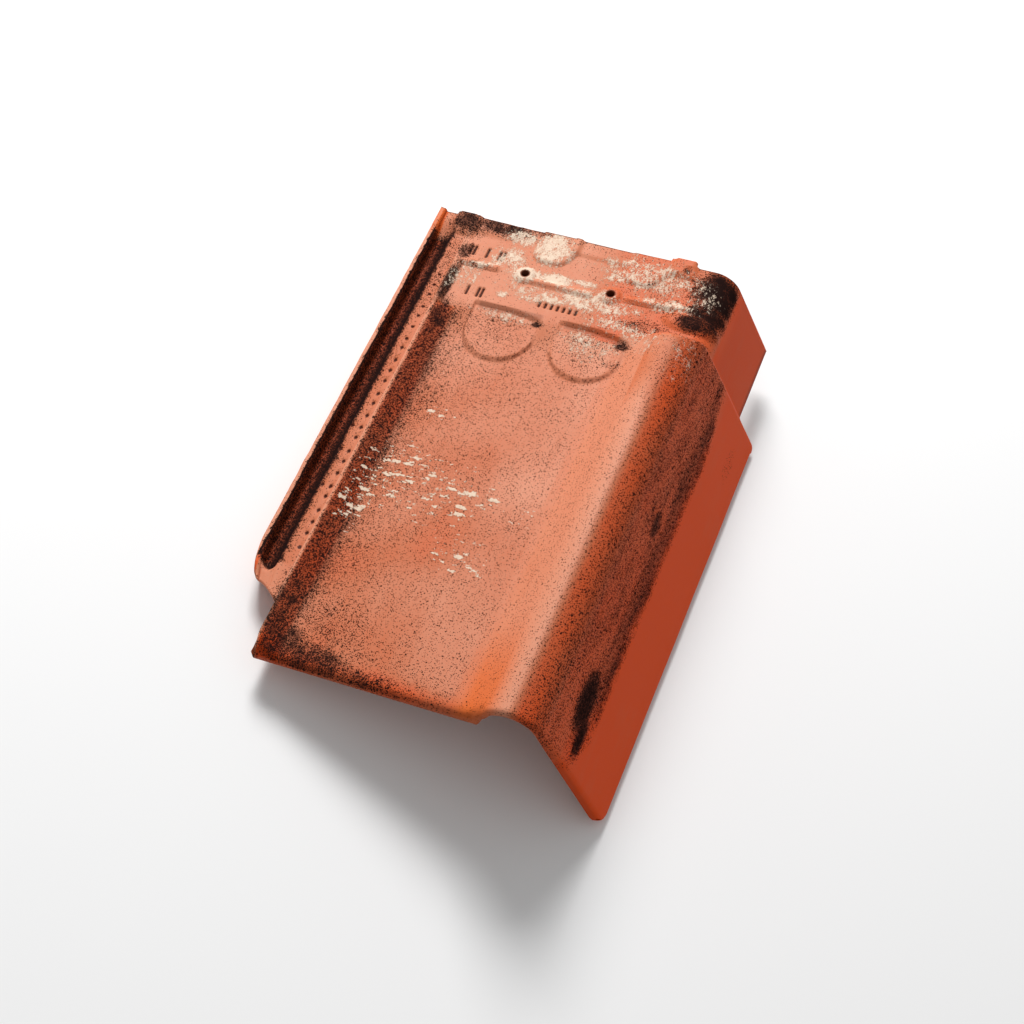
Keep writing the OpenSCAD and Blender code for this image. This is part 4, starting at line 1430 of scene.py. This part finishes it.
studio = {
    "floorSize": 12.0,
    "floorColour": (0.86, 0.86, 0.86, 1),
    "floorRough": 0.9,
    "worldColour": (1, 1, 1, 1),
    "worldStrength": 0.42,
    "keySize": 0.9,
    "keyPower": 80.0,
    "keyAt": (-1.09, 1.66, 1.60),
    "cameraLens": 74.26,
    "sensorWidth": 36.0,
    "nearest": 0.05,  # the camera sees nothing closer than this
    "cameraDistance": 1.344,
    "cameraAzimuth": 0.53,
    "cameraElevation": 58.35,
    "cameraRoll": -25.63,
    "aimOffset": (0.0014, -0.025, -0.0154),
}


def makeFloor():
    # one pale square at the level the tile rests on
    half = studio["floorSize"] / 2
    square = np.array([(-half, -half, 0), (half, -half, 0), (half, half, 0), (-half, half, 0)], float)
    floor = makePiece("studioFloor", square, np.array([[0, 1, 2, 3]]))
    look = bpy.data.materials.new("paleFloor")
    look.use_nodes = True
    surface = look.node_tree.nodes["Principled BSDF"].inputs
    surface["Base Color"].default_value = studio["floorColour"]
    surface["Roughness"].default_value = studio["floorRough"]
    floor.data.materials.append(look)


def makeLights(aim):
    # an even white room and one square softbox turned towards aim
    world = bpy.data.worlds.new("softRoom")
    world.use_nodes = True
    room = world.node_tree.nodes["Background"].inputs
    room["Color"].default_value = studio["worldColour"]
    room["Strength"].default_value = studio["worldStrength"]
    bpy.context.scene.world = world
    light = bpy.data.lights.new("softboxKey", "AREA")
    light.shape = "SQUARE"
    light.size = studio["keySize"]
    light.energy = studio["keyPower"]
    key = bpy.data.objects.new("softboxKey", light)
    bpy.context.scene.collection.objects.link(key)
    key.location = studio["keyAt"]
    key.rotation_euler = (aim - key.location).to_track_quat("-Z", "Y").to_euler()


def makeCamera(aim):
    # looks at aim from the given azimuth and elevation, then turns about its own axis by the roll
    azimuth, elevation = math.radians(studio["cameraAzimuth"]), math.radians(studio["cameraElevation"])
    levelRun = math.cos(elevation)
    forward = Vector((levelRun * math.sin(azimuth), levelRun * math.cos(azimuth), -math.sin(elevation)))
    lens = bpy.data.cameras.new("studioCamera")
    lens.lens = studio["cameraLens"]
    lens.sensor_width = studio["sensorWidth"]
    lens.clip_start = studio["nearest"]
    camera = bpy.data.objects.new("studioCamera", lens)
    bpy.context.scene.collection.objects.link(camera)
    level = forward.to_track_quat("-Z", "Y").to_matrix()
    rolled = level @ Matrix.Rotation(math.radians(-studio["cameraRoll"]), 3, "Z")
    camera.matrix_world = Matrix.Translation(aim - forward * studio["cameraDistance"]) @ rolled.to_4x4()
    bpy.context.scene.camera = camera


middle = Vector((corners[0] + corners[1]) / 2)
aim = middle + Vector(studio["aimOffset"])
makeFloor()
makeLights(middle)
makeCamera(aim)
bpy.context.scene.view_settings.view_transform = "Standard"
